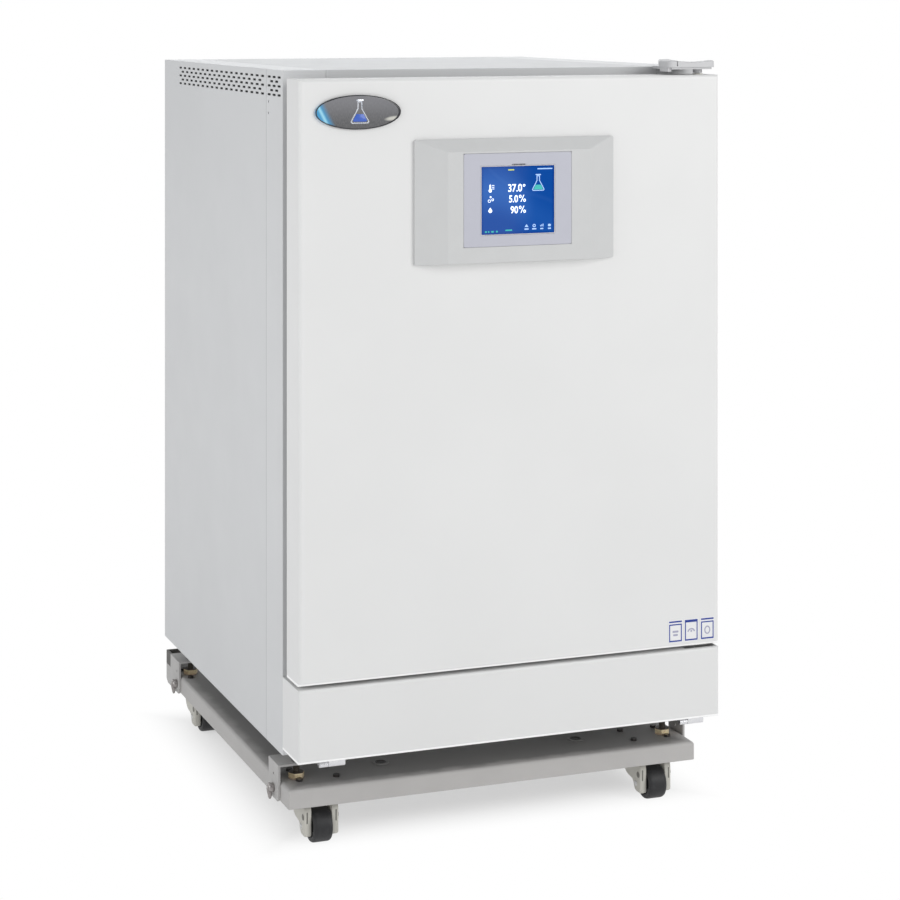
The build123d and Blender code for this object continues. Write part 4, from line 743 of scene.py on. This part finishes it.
green.plate(rrect(AX0 + 44, AZ0 + 5.6, 11, 2.0, 0.7), Y_SCR, Y_SCR + 0.1)
green.object("screen_status_marks", INK_GREEN, "outer_door", "screen_blue", None)
yellow = Shape()
yellow.plate(rrect(AX0 + 48, AZ1 - 5.6, 9.5, 1.8, 0.6), Y_SCR, Y_SCR + 0.1)
yellow.object("screen_alert_mark", INK_YELLOW, "outer_door", "screen_blue", None)
# emblem on the display: plain flask pictogram
def flask(cx, cz, h):
    k = h / 30.0
    half = [(3.4, 14.5), (3.4, 5.0), (12.5, -11.0), (12.9, -13.2), (11.2, -15.0)]
    pts = [(cx + a * k, cz + b * k) for a, b in half] + [(cx - a * k, cz + b * k) for a, b in reversed(half)]
    return pts
emb = Shape()
emb.band(flask(AX0 + 91.5, AZ1 - 26.0, 23), inset(flask(AX0 + 91.5, AZ1 - 26.0, 23), 1.2), Y_SCR, Y_SCR + 0.1)
emb.plate(rrect(AX0 + 91.5, AZ1 - 13.6, 8.6, 1.6, 0.7), Y_SCR, Y_SCR + 0.1)
emb.object("screen_emblem_flask", INK_SOFT, "outer_door", "screen_blue", None)
liq = Shape()
liq.plate([(AX0 + 91.5 - 4.2, AZ1 - 28.6), (AX0 + 91.5 + 4.2, AZ1 - 28.6), (AX0 + 91.5 + 7.8, AZ1 - 35.6), (AX0 + 91.5 - 7.8, AZ1 - 35.6)], Y_SCR, Y_SCR + 0.1)
liq.object("screen_emblem_liquid", INK_GREEN, "outer_door", "screen_blue", None)

# thin protective edge round the window, and a plain printed bar above it
edge = Shape()
wx, wz = (AX0 + AX1) / 2, (AZ0 + AZ1) / 2
edge.band(rrect(wx, wz, AX1 - AX0 + 2.6, AZ1 - AZ0 + 2.6, 0.9), rrect(wx, wz, AX1 - AX0 - 0.2, AZ1 - AZ0 - 0.2, 0.5), f_lo.y - 0.0, f_lo.y + 0.35, 0.1)
edge.object("display_window_lip", plastic("window_lip_film", (0.72, 0.70, 0.70), 0.3, grain=0.3, depth=0.004), "outer_door", "membrane_lilac", 30)
mark = Shape()
mark.plate(rrect((f_lo.x + f_hi.x) / 2 + 1, f_hi.z - 17.3, 22, 2.6, 1.2), f_lo.y - 0.0, f_lo.y + 0.2, 0.05)
mark.object("display_frame_bar", INK_PALE, "outer_door", "membrane_lilac", 30)

# ====================================================================== badge
b_lo, b_hi = corners("door_badge")
bcx, bcz = (b_lo.x + b_hi.x) / 2, (b_lo.z + b_hi.z) / 2
ba, bb = (b_hi.x - b_lo.x) / 2, (b_hi.z - b_lo.z) / 2
bez = Shape()
N = 96
for (o, i, y0, y1) in ((oval(bcx, bcz, ba, bb, N), oval(bcx, bcz, ba - 1.6, bb - 1.6, N), b_lo.y - 0.25, b_lo.y + 2.2),):
    bez.band(o, i, y0, y1, 0.5)
bez.object("badge_rim", plastic("badge_rim_gloss", (0.02, 0.02, 0.025), 0.16, grain=0.8, depth=0.004), "outer_door", "badge_dark", 40)
em = Shape()
em.band(flask(bcx + 2, bcz, 33), inset(flask(bcx + 2, bcz, 33), 1.7), b_lo.y - 0.22, b_lo.y + 0.3, 0.15)
em.plate(rrect(bcx + 2, bcz + 17.2, 11.5, 2.2, 1.0), b_lo.y - 0.22, b_lo.y + 0.3, 0.1)
em.object("badge_emblem_outline", SILVER, "outer_door", "badge_dark", 30)
lq = Shape()
lq.plate([(bcx + 2 - 5.6, bcz - 2.6), (bcx + 2 + 5.6, bcz - 2.6), (bcx + 2 + 10.8, bcz - 12.0), (bcx + 2 + 9.8, bcz - 13.6), (bcx + 2 - 9.8, bcz - 13.6), (bcx + 2 - 10.8, bcz - 12.0)], b_lo.y - 0.16, b_lo.y + 0.3, 0.1)
lq.object("badge_emblem_liquid", ink("badge_blue_enamel", (0.05, 0.13, 0.55), rough=0.2), "outer_door", "badge_dark", 30)

# ====================================================================== small tags at the lower right of the door
d_lo, d_hi = corners("door_skin")
TAG_Y = d_lo.y - 0.02
tag_x = (d_hi.x - 74.6, d_hi.x - 47.7, d_hi.x - 20.2)
tw, th, tzc = 21.6, 31.5, d_lo.z + 24.8
tags, lines, motif = Shape(), Shape(), Shape()
for k, cx in enumerate(tag_x):
    tags.plate(rrect(cx, tzc, tw + 3.0, th + 3.0, 1.0), TAG_Y - 0.12, TAG_Y + 0.4, 0.08)
    lines.plate(rrect(cx, tzc + th / 2 - 1.1, tw, 2.4, 0.3), TAG_Y - 0.2, TAG_Y)
    ztop = tzc + th / 2 - (4.6 if k != 1 else 2.0)
    lines.band(rrect(cx, (ztop + tzc - th / 2) / 2, tw, ztop - tzc + th / 2, 0.5), rrect(cx, (ztop + tzc - th / 2) / 2 + 0.2, tw - 3.4, ztop - tzc + th / 2 - 4.0, 0.3), TAG_Y - 0.2, TAG_Y)
    zc = (ztop + tzc - th / 2) / 2
    if k == 0:
        motif.plate(rrect(cx, zc + 2.0, 10, 3.0, 1.0), TAG_Y - 0.2, TAG_Y)
        motif.plate(rrect(cx, zc - 3.2, 8, 3.0, 1.0), TAG_Y - 0.2, TAG_Y)
    elif k == 1:
        arc_o = [(cx + 6.4 * math.cos(math.pi * i / 16), zc - 1.5 + 5.4 * math.sin(math.pi * i / 16)) for i in range(17)]
        arc_i = [(cx + 4.2 * math.cos(math.pi * i / 16), zc - 1.5 + 3.2 * math.sin(math.pi * i / 16)) for i in range(16, -1, -1)]
        motif.plate(arc_o + arc_i, TAG_Y - 0.2, TAG_Y)
        motif.plate(oval(cx, zc - 0.6, 1.6, 1.6, 20), TAG_Y - 0.2, TAG_Y)
    else:
        motif.band(oval(cx, zc, 5.2, 6.4, 32), oval(cx, zc, 3.2, 4.4, 32), TAG_Y - 0.2, TAG_Y)
tags.object("door_tag_films", TAG_WHITE, "outer_door", "door_white", 30)
lines.object("door_tag_borders", INK_BLUE, "outer_door", "door_white", None)
motif.object("door_tag_pictograms", INK_GREY, "outer_door", "door_white", None)

# ====================================================================== blanking cap in the unused hinge pocket
h_lo, h_hi = corners("hinge_bushes")
hx, hy = -(h_lo.x + h_hi.x) / 2, (h_lo.y + h_hi.y) / 2


def obround(cx, cy, l, w, n=14):
    pts = []
    for i in range(n + 1):
        a = math.radians(-90 + 180 * i / n)
        pts.append((cx + (l - w) / 2 + w / 2 * math.cos(a), cy + w / 2 * math.sin(a)))
    for i in range(n + 1):
        a = math.radians(90 + 180 * i / n)
        pts.append((cx - (l - w) / 2 + w / 2 * math.cos(a), cy + w / 2 * math.sin(a)))
    return pts


def flat(outline, z):
    return [(x, y, z) for x, y in outline]


cap = Shape()
zt = d_hi.z
cap.stack([flat(obround(hx, hy, 22.4, 8.4), zt - 6.5), flat(obround(hx, hy, 22.6, 8.6), zt - 0.4),
           flat(obround(hx, hy, 20.6, 6.6), zt - 0.2), flat(obround(hx, hy, 20.2, 6.2), zt - 1.6)], True, True)
cap.object("hinge_pocket_cap", M["black_plastic"], "outer_door", "black_plastic", 35)
lipc = Shape()
ring_o, ring_i = obround(hx, hy, 25.4, 11.4), obround(hx, hy, 21.0, 7.0)
rings = [flat(ring_i, zt - 0.3), flat(ring_i, zt + 0.5), flat(obround(hx, hy, 24.2, 10.2), zt + 0.7), flat(ring_o, zt + 0.35), flat(ring_o, zt + 0.02)]
rings.append(rings[0])
lipc.stack(rings, False, False)
lipc.object("hinge_pocket_lip", M["trim_white"], "outer_door", "trim_white", 40)

# ====================================================================== castors
def fork(tag, side):
    """Hooded castor fork: two posts, a hood that curves down behind them, turntable, axle nut."""
    w_lo, w_hi = corners("castor_wheel_" + tag)
    k_lo, k_hi = corners("castor_fork_" + tag)
    cx, wy, wz = (w_lo.x + w_hi.x) / 2, (w_lo.y + w_hi.y) / 2, (w_lo.z + w_hi.z) / 2
    body, node = "swivel_" + tag, "castor_fork_" + tag
    half = (k_hi.x - k_lo.x) / 2
    gap = (w_hi.x - w_lo.x) / 2 + 0.9
    yf, yb, top = k_lo.y, k_hi.y, k_lo.z + 61.0
    sh = Shape()

    def cheek(s):
        """Outline in the side view, swept across the cheek's thickness with soft edges."""
        post = [(yf, wz - 9.0), (yf + 0.6, wz - 11.6), (yf + 3.0, wz - 13.0), (yf + 14, wz - 13.0), (yf + 19, wz - 11.4),
                (yf + 22, wz - 7.6), (yf + 24.2, wz - 2.0), (yf + 27.5, wz + 1.6), (yf + 33, wz + 3.0), (yf + 40, wz + 3.6),
                (yf + 47, wz + 5.4), (yf + 53.5, wz + 9.6), (yf + 58.6, wz + 15.5), (yf + 62.4, wz + 22.5), (yb, wz + 30.0),
                (yb, top - 6.5), (yb - 1.2, top - 2.4), (yb - 4.6, top), (yf + 12.6, top), (yf + 12.2, top - 9.2),
                (yf + 9.0, top - 10.4), (yf + 4.4, top - 12.6), (yf + 1.2, top - 17.0), (yf, top - 22.0), (yf, wz + 4.0)]
        n = len(post)
        cyy, czz = yf + 28, wz + 14

        def ring(x, k):
            o = inset(post, k)
            return [(x, y, z) for y, z in o]
        xi, xo = cx + s * gap, cx + s * half
        sh.stack([ring(xi, 0.9), ring(xi + s * 0.3, 0.25), ring(xi + s * 1.0, 0.0), ring(xo - s * 3.2, 0.0), ring(xo - s * 1.5, 0.5),
                  ring(xo - s * 0.4, 1.5), ring(xo, 3.2)])

    for s in (-1, 1):
        cheek(s)
        # the axle boss
        sh.turned([(0, 0), (7.6, 0), (7.6, s * 0.7), (6.9, s * 1.5), (0, s * 1.5)][::1], (cx + s * (half - 1.0), wy, wz), "x", 40)
    # hood over the wheel, behind the posts
    prof = [(yf + 14.5, top - 3.0), (yf + 14.5, top), (yb - 4.6, top), (yb - 1.2, top - 2.4), (yb, top - 6.5), (yb, wz + 30.0), (yf + 62.4, wz + 22.5),
            (yf + 58.6, wz + 15.5), (yf + 56.4, wz + 16.5), (yf + 59.2, wz + 23.6), (yb - 3.0, wz + 30.6), (yb - 3.2, top - 7.0), (yb - 6.0, top - 3.0)]
    sh.stack([[(cx - half + 4, y, z) for y, z in prof], [(cx + half - 4, y, z) for y, z in prof]])
    # turntable and kingpin
    sy = (yf + 41.5)
    sh.turned([(0, 0), (18.5, 0), (20.0, 1.2), (20.0, 4.0), (18.6, 5.2), (20.0, 6.4), (20.0, 8.0), (19.0, 8.6), (6, 8.6), (5, 9.2), (5, 14.4), (4.2, 15.2), (0, 15.2)],
              (cx, sy, top - 1.0 - 0.0), "z", 56)
    ob = sh.object("castor_fork_shell_" + tag, M["castor_grey"], body, "castor_grey", 40)
    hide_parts(node)
    # axle with its nut recessed in the boss
    ax = Shape()
    ax.turned([(0, -half + 1.0), (3.9, -half + 1.0), (3.9, half - 1.0), (0, half - 1.0)], (cx, wy, wz), "x", 28)
    for s in (-1, 1):
        r6 = [[(cx + s * (half - 0.2 + t), wy + r * math.cos(math.radians(60 * i + 15)), wz + r * math.sin(math.radians(60 * i + 15))) for i in range(6)]
              for t, r in ((0.0, 4.6), (0.9, 4.6), (1.3, 4.0))]
        ax.stack(r6)
    ax.object("castor_axle_" + tag, M["zinc_steel"], body, "zinc_steel", 30)
    # dark disc above the axle and dark strip down each post: painted shade of a round recess and of a slot
    re = Shape()
    for s in (-1, 1):
        re.turned([(0, 0), (4.6, 0), (4.6, s * 0.35), (0, s * 0.35)], (cx + s * (half - 0.1), yf + 6.5, wz + 15.5), "x", 32)
        # dark strip down the front of each post: painted shade of a slot
        x0 = cx + s * (half - 4.4)
        re.plate(rrect(x0, top - 21.5 - 9, 2.2, 17, 1.0), yf - 0.12, yf + 0.6, 0.05)
    re.object("castor_recess_" + tag, RECESS_SHADE, body, "castor_grey", 30)
    # tyre, rim and hub
    wh = Shape()
    R, W = (w_hi.z - w_lo.z) / 2, (w_hi.x - w_lo.x) / 2
    halfp = [(4.45, W), (9.5, W), (10.4, W - 0.8), (11.0, W - 5.5), (17.0, W - 5.5), (17.6, W - 1.6), (18.6, W - 0.6),
             (20.6, W - 0.1), (22.4, W - 0.25), (23.6, W - 1.0), (24.4, W - 2.2), (24.85, W - 3.8), (R, W - 6.0)]
    prof = [(r, -x) for r, x in halfp] + [(R - 0.02, 0.0)] + [(r, x) for r, x in reversed(halfp)]
    rings = []
    steps = 64
    for r, t in prof + [prof[0]]:
        rings.append([(cx + t, wy + r * math.cos(2 * math.pi * i / steps), wz + r * math.sin(2 * math.pi * i / steps)) for i in range(steps)])
    wh.stack(rings, False, False)
    wo = wh.object("castor_tyre_" + tag, M["tyre_black"], "wheel_" + tag, "tyre_black", 32)
    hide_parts("castor_wheel_" + tag)


# dark plastic for the painted shade of the castor recesses and slots
RECESS_SHADE = plastic("castor_recess_shade", (0.20, 0.195, 0.175), 0.6, grain=0.6)
for tag in ("fl", "fr", "rl", "rr"):
    fork(tag, 1)

# ====================================================================== levelling feet: bevelled hexagon, threaded stem
def foot_metal(name):
    """Yellow zinc on the spanner flats, darker and pinker near the bottom; painted near-black shade on the top and the
    stem, a painted highlight on the edges and a faint painted glow.
    """
    n = Nodes(name)
    z = n.xyz()[2]
    lo, hi = corners("foot_front_left")
    painted_shade_top = n.smooth(z, lo.z + 8.1, lo.z + 8.9)
    low = n.smooth(z, lo.z + 2.6, lo.z + 1.2)
    tint = n.noise(3.5, 3, 0.6)
    base = n.mix(n.smooth(tint, 0.35, 0.7), (0.92, 0.80, 0.52), (0.80, 0.62, 0.42))
    base = n.mix(n.math("MULTIPLY", low, 0.45), base, (0.62, 0.42, 0.36))
    # painted shade: the top face and the stem go near black
    base = n.mix(painted_shade_top, base, (0.060, 0.050, 0.040))
    nrm, mask = n.edge(0.5)
    # painted highlight on the edges, weaker where the painted shade is
    base = n.mix(n.math("MULTIPLY", mask, n.math("SUBTRACT", 0.55, n.math("MULTIPLY", painted_shade_top, 0.45))), base, (0.95, 0.88, 0.70))
    n.set(Base_Color=base, Metallic=n.smooth(painted_shade_top, 0.0, 1.0, 0.9, 0.35), Roughness=n.smooth(tint, 0.2, 0.8, 0.30, 0.42),
          Normal=n.bump(n.noise(0.5, 2, 0.5), 0.01, 0.5, nrm))
    # faint painted glow that brightens the whole foot
    n.put(n.bsdf.inputs["Emission Color"], base)
    n.bsdf.inputs["Emission Strength"].default_value = 0.06
    return n.mat


FOOT_METAL = foot_metal("foot_yellow_zinc")
for tag, long in (("fl", "front_left"), ("fr", "front_right"), ("rl", "rear_left"), ("rr", "rear_right")):
    lo, hi = corners("foot_" + long)
    cx, cy = (lo.x + hi.x) / 2, (lo.y + hi.y) / 2
    R = (hi.x - lo.x) / 2
    z0, z1, ztop = lo.z, lo.z + 9.3, hi.z
    ft = Shape()

    def hexring(z, r, blend):
        """Twenty-four points; blend 0 gives the hexagon, 1 the circle that cuts its corners."""
        pts = []
        for i in range(24):
            a = 2 * math.pi * i / 24
            k = (a + math.pi / 6) % (math.pi / 3) - math.pi / 6
            # flats lie at 30 degrees from the corners on the X axis
            kk = a % (math.pi / 3) - math.pi / 6
            hx = r * math.cos(math.pi / 6) / math.cos(kk)
            rr = min(hx, r * (1 - 0.10 * blend)) if blend else hx
            pts.append((cx + rr * math.cos(a), cy + rr * math.sin(a), z))
        return pts
    rings = [hexring(z0, R * 0.99, 1), hexring(z0 + 0.9, R, 0), hexring(z0 + 3.6, R, 0), hexring(z0 + 3.9, R * 0.955, 0), hexring(z0 + 4.4, R * 0.955, 0),
             hexring(z0 + 4.7, R, 0), hexring(z1 - 1.0, R, 0), hexring(z1, R * 0.985, 1)]

    def circ(z, r, n=24):
        return [(cx + r * math.cos(2 * math.pi * i / n), cy + r * math.sin(2 * math.pi * i / n), z) for i in range(n)]
    rings += [circ(z1, 5.6), circ(z1 + 0.4, 5.0)]
    z = z1 + 0.8
    while z < ztop - 1.0:
        rings += [circ(z, 4.98), circ(z + 0.28, 4.98), circ(z + 0.62, 4.35), circ(z + 0.9, 4.35)]
        z += 1.25
    rings += [circ(ztop - 0.6, 4.7), circ(ztop, 3.9)]
    ft.stack(rings)
    fo = ft.object("foot_turned_" + tag, FOOT_METAL, "foot_" + tag, "yellow_zinc", 28)
    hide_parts("foot_" + long)

# ====================================================================== wing screws of the clamps
q_lo, q_hi = corners("clamp_screws")
ws = Shape()
screw_z = q_lo.z + 17.0
for s in (-1, 1):
    xe = s * q_hi.x
    for y in (q_lo.y + 7.0, q_hi.y - 7.0):
        ws.turned([(0, -16.0 * s), (2.9, -16.0 * s), (2.9, 0.0), (6.6, 0.2 * s), (6.9, 1.2 * s), (6.2, 5.6 * s), (5.4, 7.4 * s), (3.6, 8.4 * s), (0, 8.6 * s)],
                  (s * (q_hi.x - 13.8), y, screw_z), "x", 36)
        xin = s * (q_hi.x - 12.6)

        def wing(pts):
            pts = [(xin + (x - xin) * 0.74, z) for x, z in pts]
            rings = []
            for (yy, k) in ((y - 1.9, 1.1), (y - 1.4, 0.35), (y - 0.5, 0.0), (y + 0.5, 0.0), (y + 1.4, 0.35), (y + 1.9, 1.1)):
                rings.append([(x, yy, z) for x, z in inset(pts, k)])
            ws.stack(rings)
        wing([(xin, screw_z + 3.5), (xin, screw_z - 6.5), (xin + s * 1.4, screw_z - 12.0), (xin + s * 3.4, screw_z - 16.0), (xin + s * 5.6, screw_z - 17.0),
              (xin + s * 7.8, screw_z - 16.2), (xin + s * 9.4, screw_z - 12.6), (xin + s * 11.4, screw_z - 6.0), (xin + s * 12.6, screw_z - 1.0),
              (xin + s * 12.0, screw_z + 3.0), (xin + s * 9.0, screw_z + 5.0)])
        wing([(xin + s * 1.0, screw_z + 2.0), (xin + s * 9.6, screw_z + 2.0), (xin + s * 9.8, screw_z + 5.4), (xin + s * 8.2, screw_z + 7.6), (xin + s * 5.6, screw_z + 8.0), (xin + s * 2.6, screw_z + 6.0)])
wo = ws.object("clamp_wing_screws", M["screw_zinc"], "cabinet", "zinc_steel", 38)
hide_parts("clamp_screws")

# ====================================================================== blanking grommets in the round holes of the base; their near-black rubber stands in for the shade in the dimples
b_lo, b_hi = corners("base_frame")
gr = Shape()
for gx in (-162.5, 162.5):
    gr.turned([(0, -3.4), (8.2, -3.4), (8.9, -2.9), (8.9, -0.4), (8.5, 0.1), (7.4, 0.3), (6.6, -0.2), (5.8, -1.2), (2.0, -1.5), (1.2, -1.1), (0, -1.0)],
              (gx, -232.0, b_hi.z - 0.2), "z", 48)
# near-black rubber plugs close the holes; their colour is painted shade for the dimples
gr.object("base_blanking_grommets", M["grommet_rubber"], "cabinet", "base_grey", 35)

# ====================================================================== corner plates that close the top rear corners
rp_lo, rp_hi = corners("rear_panel")
cnr = Shape()
for sgn in (-1, 1):
    xa, xb = sorted((sgn * (tp_hi.x + 0.4), sgn * (rp_hi.x - 0.1)))
    za, zb = rp_hi.z + 0.4, tp_hi.z - 1.4
    cnr.plate(rrect((xa + xb) / 2, (za + zb) / 2, xb - xa, zb - za, 0.8), rp_hi.y - 1.2, rp_hi.y - 0.15, 0.1)
cnr.object("rear_corner_plates", M["cabinet_rear"], "cabinet", "cabinet_white", 35)

# ====================================================================== near-black sheets behind the vent slots, standing in for the shade inside the cabinet
scr = Shape()
for s in (-1, 1):
    for (y0, y1) in ((ff_lo.y + 6, ff_hi.y - 3), (side_lo.y + 3, side_hi.y - 40)):
        xa = s * (side_hi.x * 0 + abs(side_lo.x) - 1.7)
        n = 24
        ring = [[(xa, y0, side_hi.z - 48), (xa, y1, side_hi.z - 48), (xa, y1, side_hi.z - 6), (xa, y0, side_hi.z - 6)],
                [(xa - s * 0.8, y0, side_hi.z - 48), (xa - s * 0.8, y1, side_hi.z - 48), (xa - s * 0.8, y1, side_hi.z - 6), (xa - s * 0.8, y0, side_hi.z - 6)]]
        scr.stack(ring)
# near-black sheets: painted shade seen through the vent slots
VENT_SHADE = rubber("vent_shade_black", (0.012, 0.012, 0.013), 0.9)
scr.object("vent_shade_sheets", VENT_SHADE, "cabinet", "gasket_grey", None)

# ====================================================================== floor, light, camera
floor_me = bpy.data.meshes.new("studio_floor")
R, RINGS, SEG = 14.0, 10, 96
fv, ff = [(0, 0, 0)], []
for j in range(1, RINGS + 1):
    for i in range(SEG):
        a = 2 * math.pi * i / SEG
        fv.append((R * (j / RINGS) ** 2 * math.cos(a), R * (j / RINGS) ** 2 * math.sin(a), 0))
for i in range(SEG):
    ff.append((0, 1 + i, 1 + (i + 1) % SEG))
for j in range(RINGS - 1):
    for i in range(SEG):
        a, b = 1 + j * SEG + i, 1 + j * SEG + (i + 1) % SEG
        ff.append((a, a + SEG, b + SEG, b))
floor_me.from_pydata(fv, [], ff)
floor = bpy.data.objects.new("studio_floor", floor_me)
scene.collection.objects.link(floor)
fm = Nodes("studio_floor_paper")
x, y, z = fm.xyz()
rad = fm.math("SQRT", fm.math("ADD", fm.math("MULTIPLY", x, x), fm.math("MULTIPLY", y, y)))
pap = fm.noise(30, 3, 0.5)
fm.set(Base_Color=fm.mix(fm.smooth(pap, 0.3, 0.7), (0.90, 0.90, 0.90), (0.915, 0.915, 0.915)), Roughness=0.9, Specular_IOR_Level=0.1,
       Normal=fm.bump(pap, 0.02, 0.2))
em_n = fm.node("ShaderNodeEmission")
em_n.inputs["Color"].default_value = (1, 1, 1, 1)
em_n.inputs["Strength"].default_value = 1.0
mx = fm.node("ShaderNodeMixShader")
flp = fm.node("ShaderNodeLightPath")
# painted shadow: to the camera the floor emits less below and just round the base, so a soft shadow shows there
into_painted_shadow = fm.math("MINIMUM", fm.math("SUBTRACT", b_hi.x + 40.0, fm.math("ABSOLUTE", x)),
                fm.math("MINIMUM", fm.math("SUBTRACT", y, b_lo.y + 5.0), fm.math("SUBTRACT", b_hi.y + 40.0, y)))
camera_share_painted_shadow = fm.smooth(into_painted_shadow, -20.0, 120.0, 1.0, 0.50)
bounce = fm.smooth(rad, 500.0, 2200.0, 0.34, 0.80)
share = fm.math("ADD", fm.math("MULTIPLY", flp.outputs["Is Camera Ray"], camera_share_painted_shadow),
                fm.math("MULTIPLY", fm.math("SUBTRACT", 1.0, flp.outputs["Is Camera Ray"]), bounce))
fm.put(mx.inputs[0], share)
fm.nt.links.new(fm.bsdf.outputs[0], mx.inputs[1])
fm.nt.links.new(em_n.outputs[0], mx.inputs[2])
fm.nt.links.new(mx.outputs[0], fm.nt.nodes["Material Output"].inputs["Surface"])
floor_me.materials.append(fm.mat)

world = bpy.data.worlds.new("studio")
scene.world = world
world.use_nodes = True
wn = world.node_tree
bg = wn.nodes["Background"]
lp = wn.nodes.new("ShaderNodeLightPath")
bg2 = wn.nodes.new("ShaderNodeBackground")
bg.inputs["Color"].default_value = (0.97, 0.985, 1.0, 1)
bg.inputs["Strength"].default_value = 0.50
bg2.inputs["Color"].default_value = (1, 1, 1, 1)
bg2.inputs["Strength"].default_value = 1.0
mixw = wn.nodes.new("ShaderNodeMixShader")
wn.links.new(lp.outputs["Is Camera Ray"], mixw.inputs[0])
wn.links.new(bg.outputs[0], mixw.inputs[1])
wn.links.new(bg2.outputs[0], mixw.inputs[2])
wn.links.new(mixw.outputs[0], wn.nodes["World Output"].inputs["Surface"])


def area(name, loc, target, size, power, color=(1, 1, 1), size_y=None):
    li = bpy.data.lights.new(name, "AREA")
    li.shape = "RECTANGLE"
    li.size = size
    li.size_y = size_y or size
    li.energy = power
    li.color = color
    ob = bpy.data.objects.new(name, li)
    ob.location = loc
    ob.rotation_mode = "QUATERNION"
    ob.rotation_quaternion = (Vector(target) - Vector(loc)).to_track_quat("-Z", "Y")
    scene.collection.objects.link(ob)
    return ob


area("key_front_right", (2.2, -3.6, 2.3), (0, -0.3, 0.6), 2.2, 62, (1.0, 0.995, 0.985))
area("fill_left", (-3.4, -1.2, 1.6), (0, 0, 0.6), 2.4, 27, (0.985, 0.99, 1.0))
area("top_soft", (0.3, 0.2, 3.4), (0, 0, 0.9), 2.6, 9)
area("back_rim", (1.2, 3.4, 2.4), (0, 0, 0.7), 2.0, 16, (0.98, 0.99, 1.0))

CAM = (-1.35666, -3.44955, 1.24182)
cam_data = bpy.data.cameras.new("photo_camera")
cam = bpy.data.objects.new("photo_camera", cam_data)
scene.collection.objects.link(cam)
cam.rotation_mode = "XYZ"
cam.location = CAM
cam.rotation_euler = (math.radians(90), 0, math.radians(-19.59))
cam_data.sensor_width = 36.0
cam_data.lens = 90.52
cam_data.clip_end = 100
scene.camera = cam
for prop, amount in (("shift_x", 0.1111), ("shift_y", -0.4961)):
    drv = cam_data.driver_add(prop).driver
    drv.type = "SCRIPTED"
    for axis in "xyz":
        var = drv.variables.new()
        var.name = "p" + axis
        var.targets[0].id = cam
        var.targets[0].data_path = "location[%d]" % "xyz".index(axis)
    drv.expression = "%.5f if abs(px - %.5f) + abs(py - %.5f) + abs(pz - %.5f) < 0.001 else 0.0" % (amount, CAM[0], CAM[1], CAM[2])

scene.view_settings.view_transform = "Standard"
scene.view_settings.look = "None"
scene.view_settings.exposure = 0.0
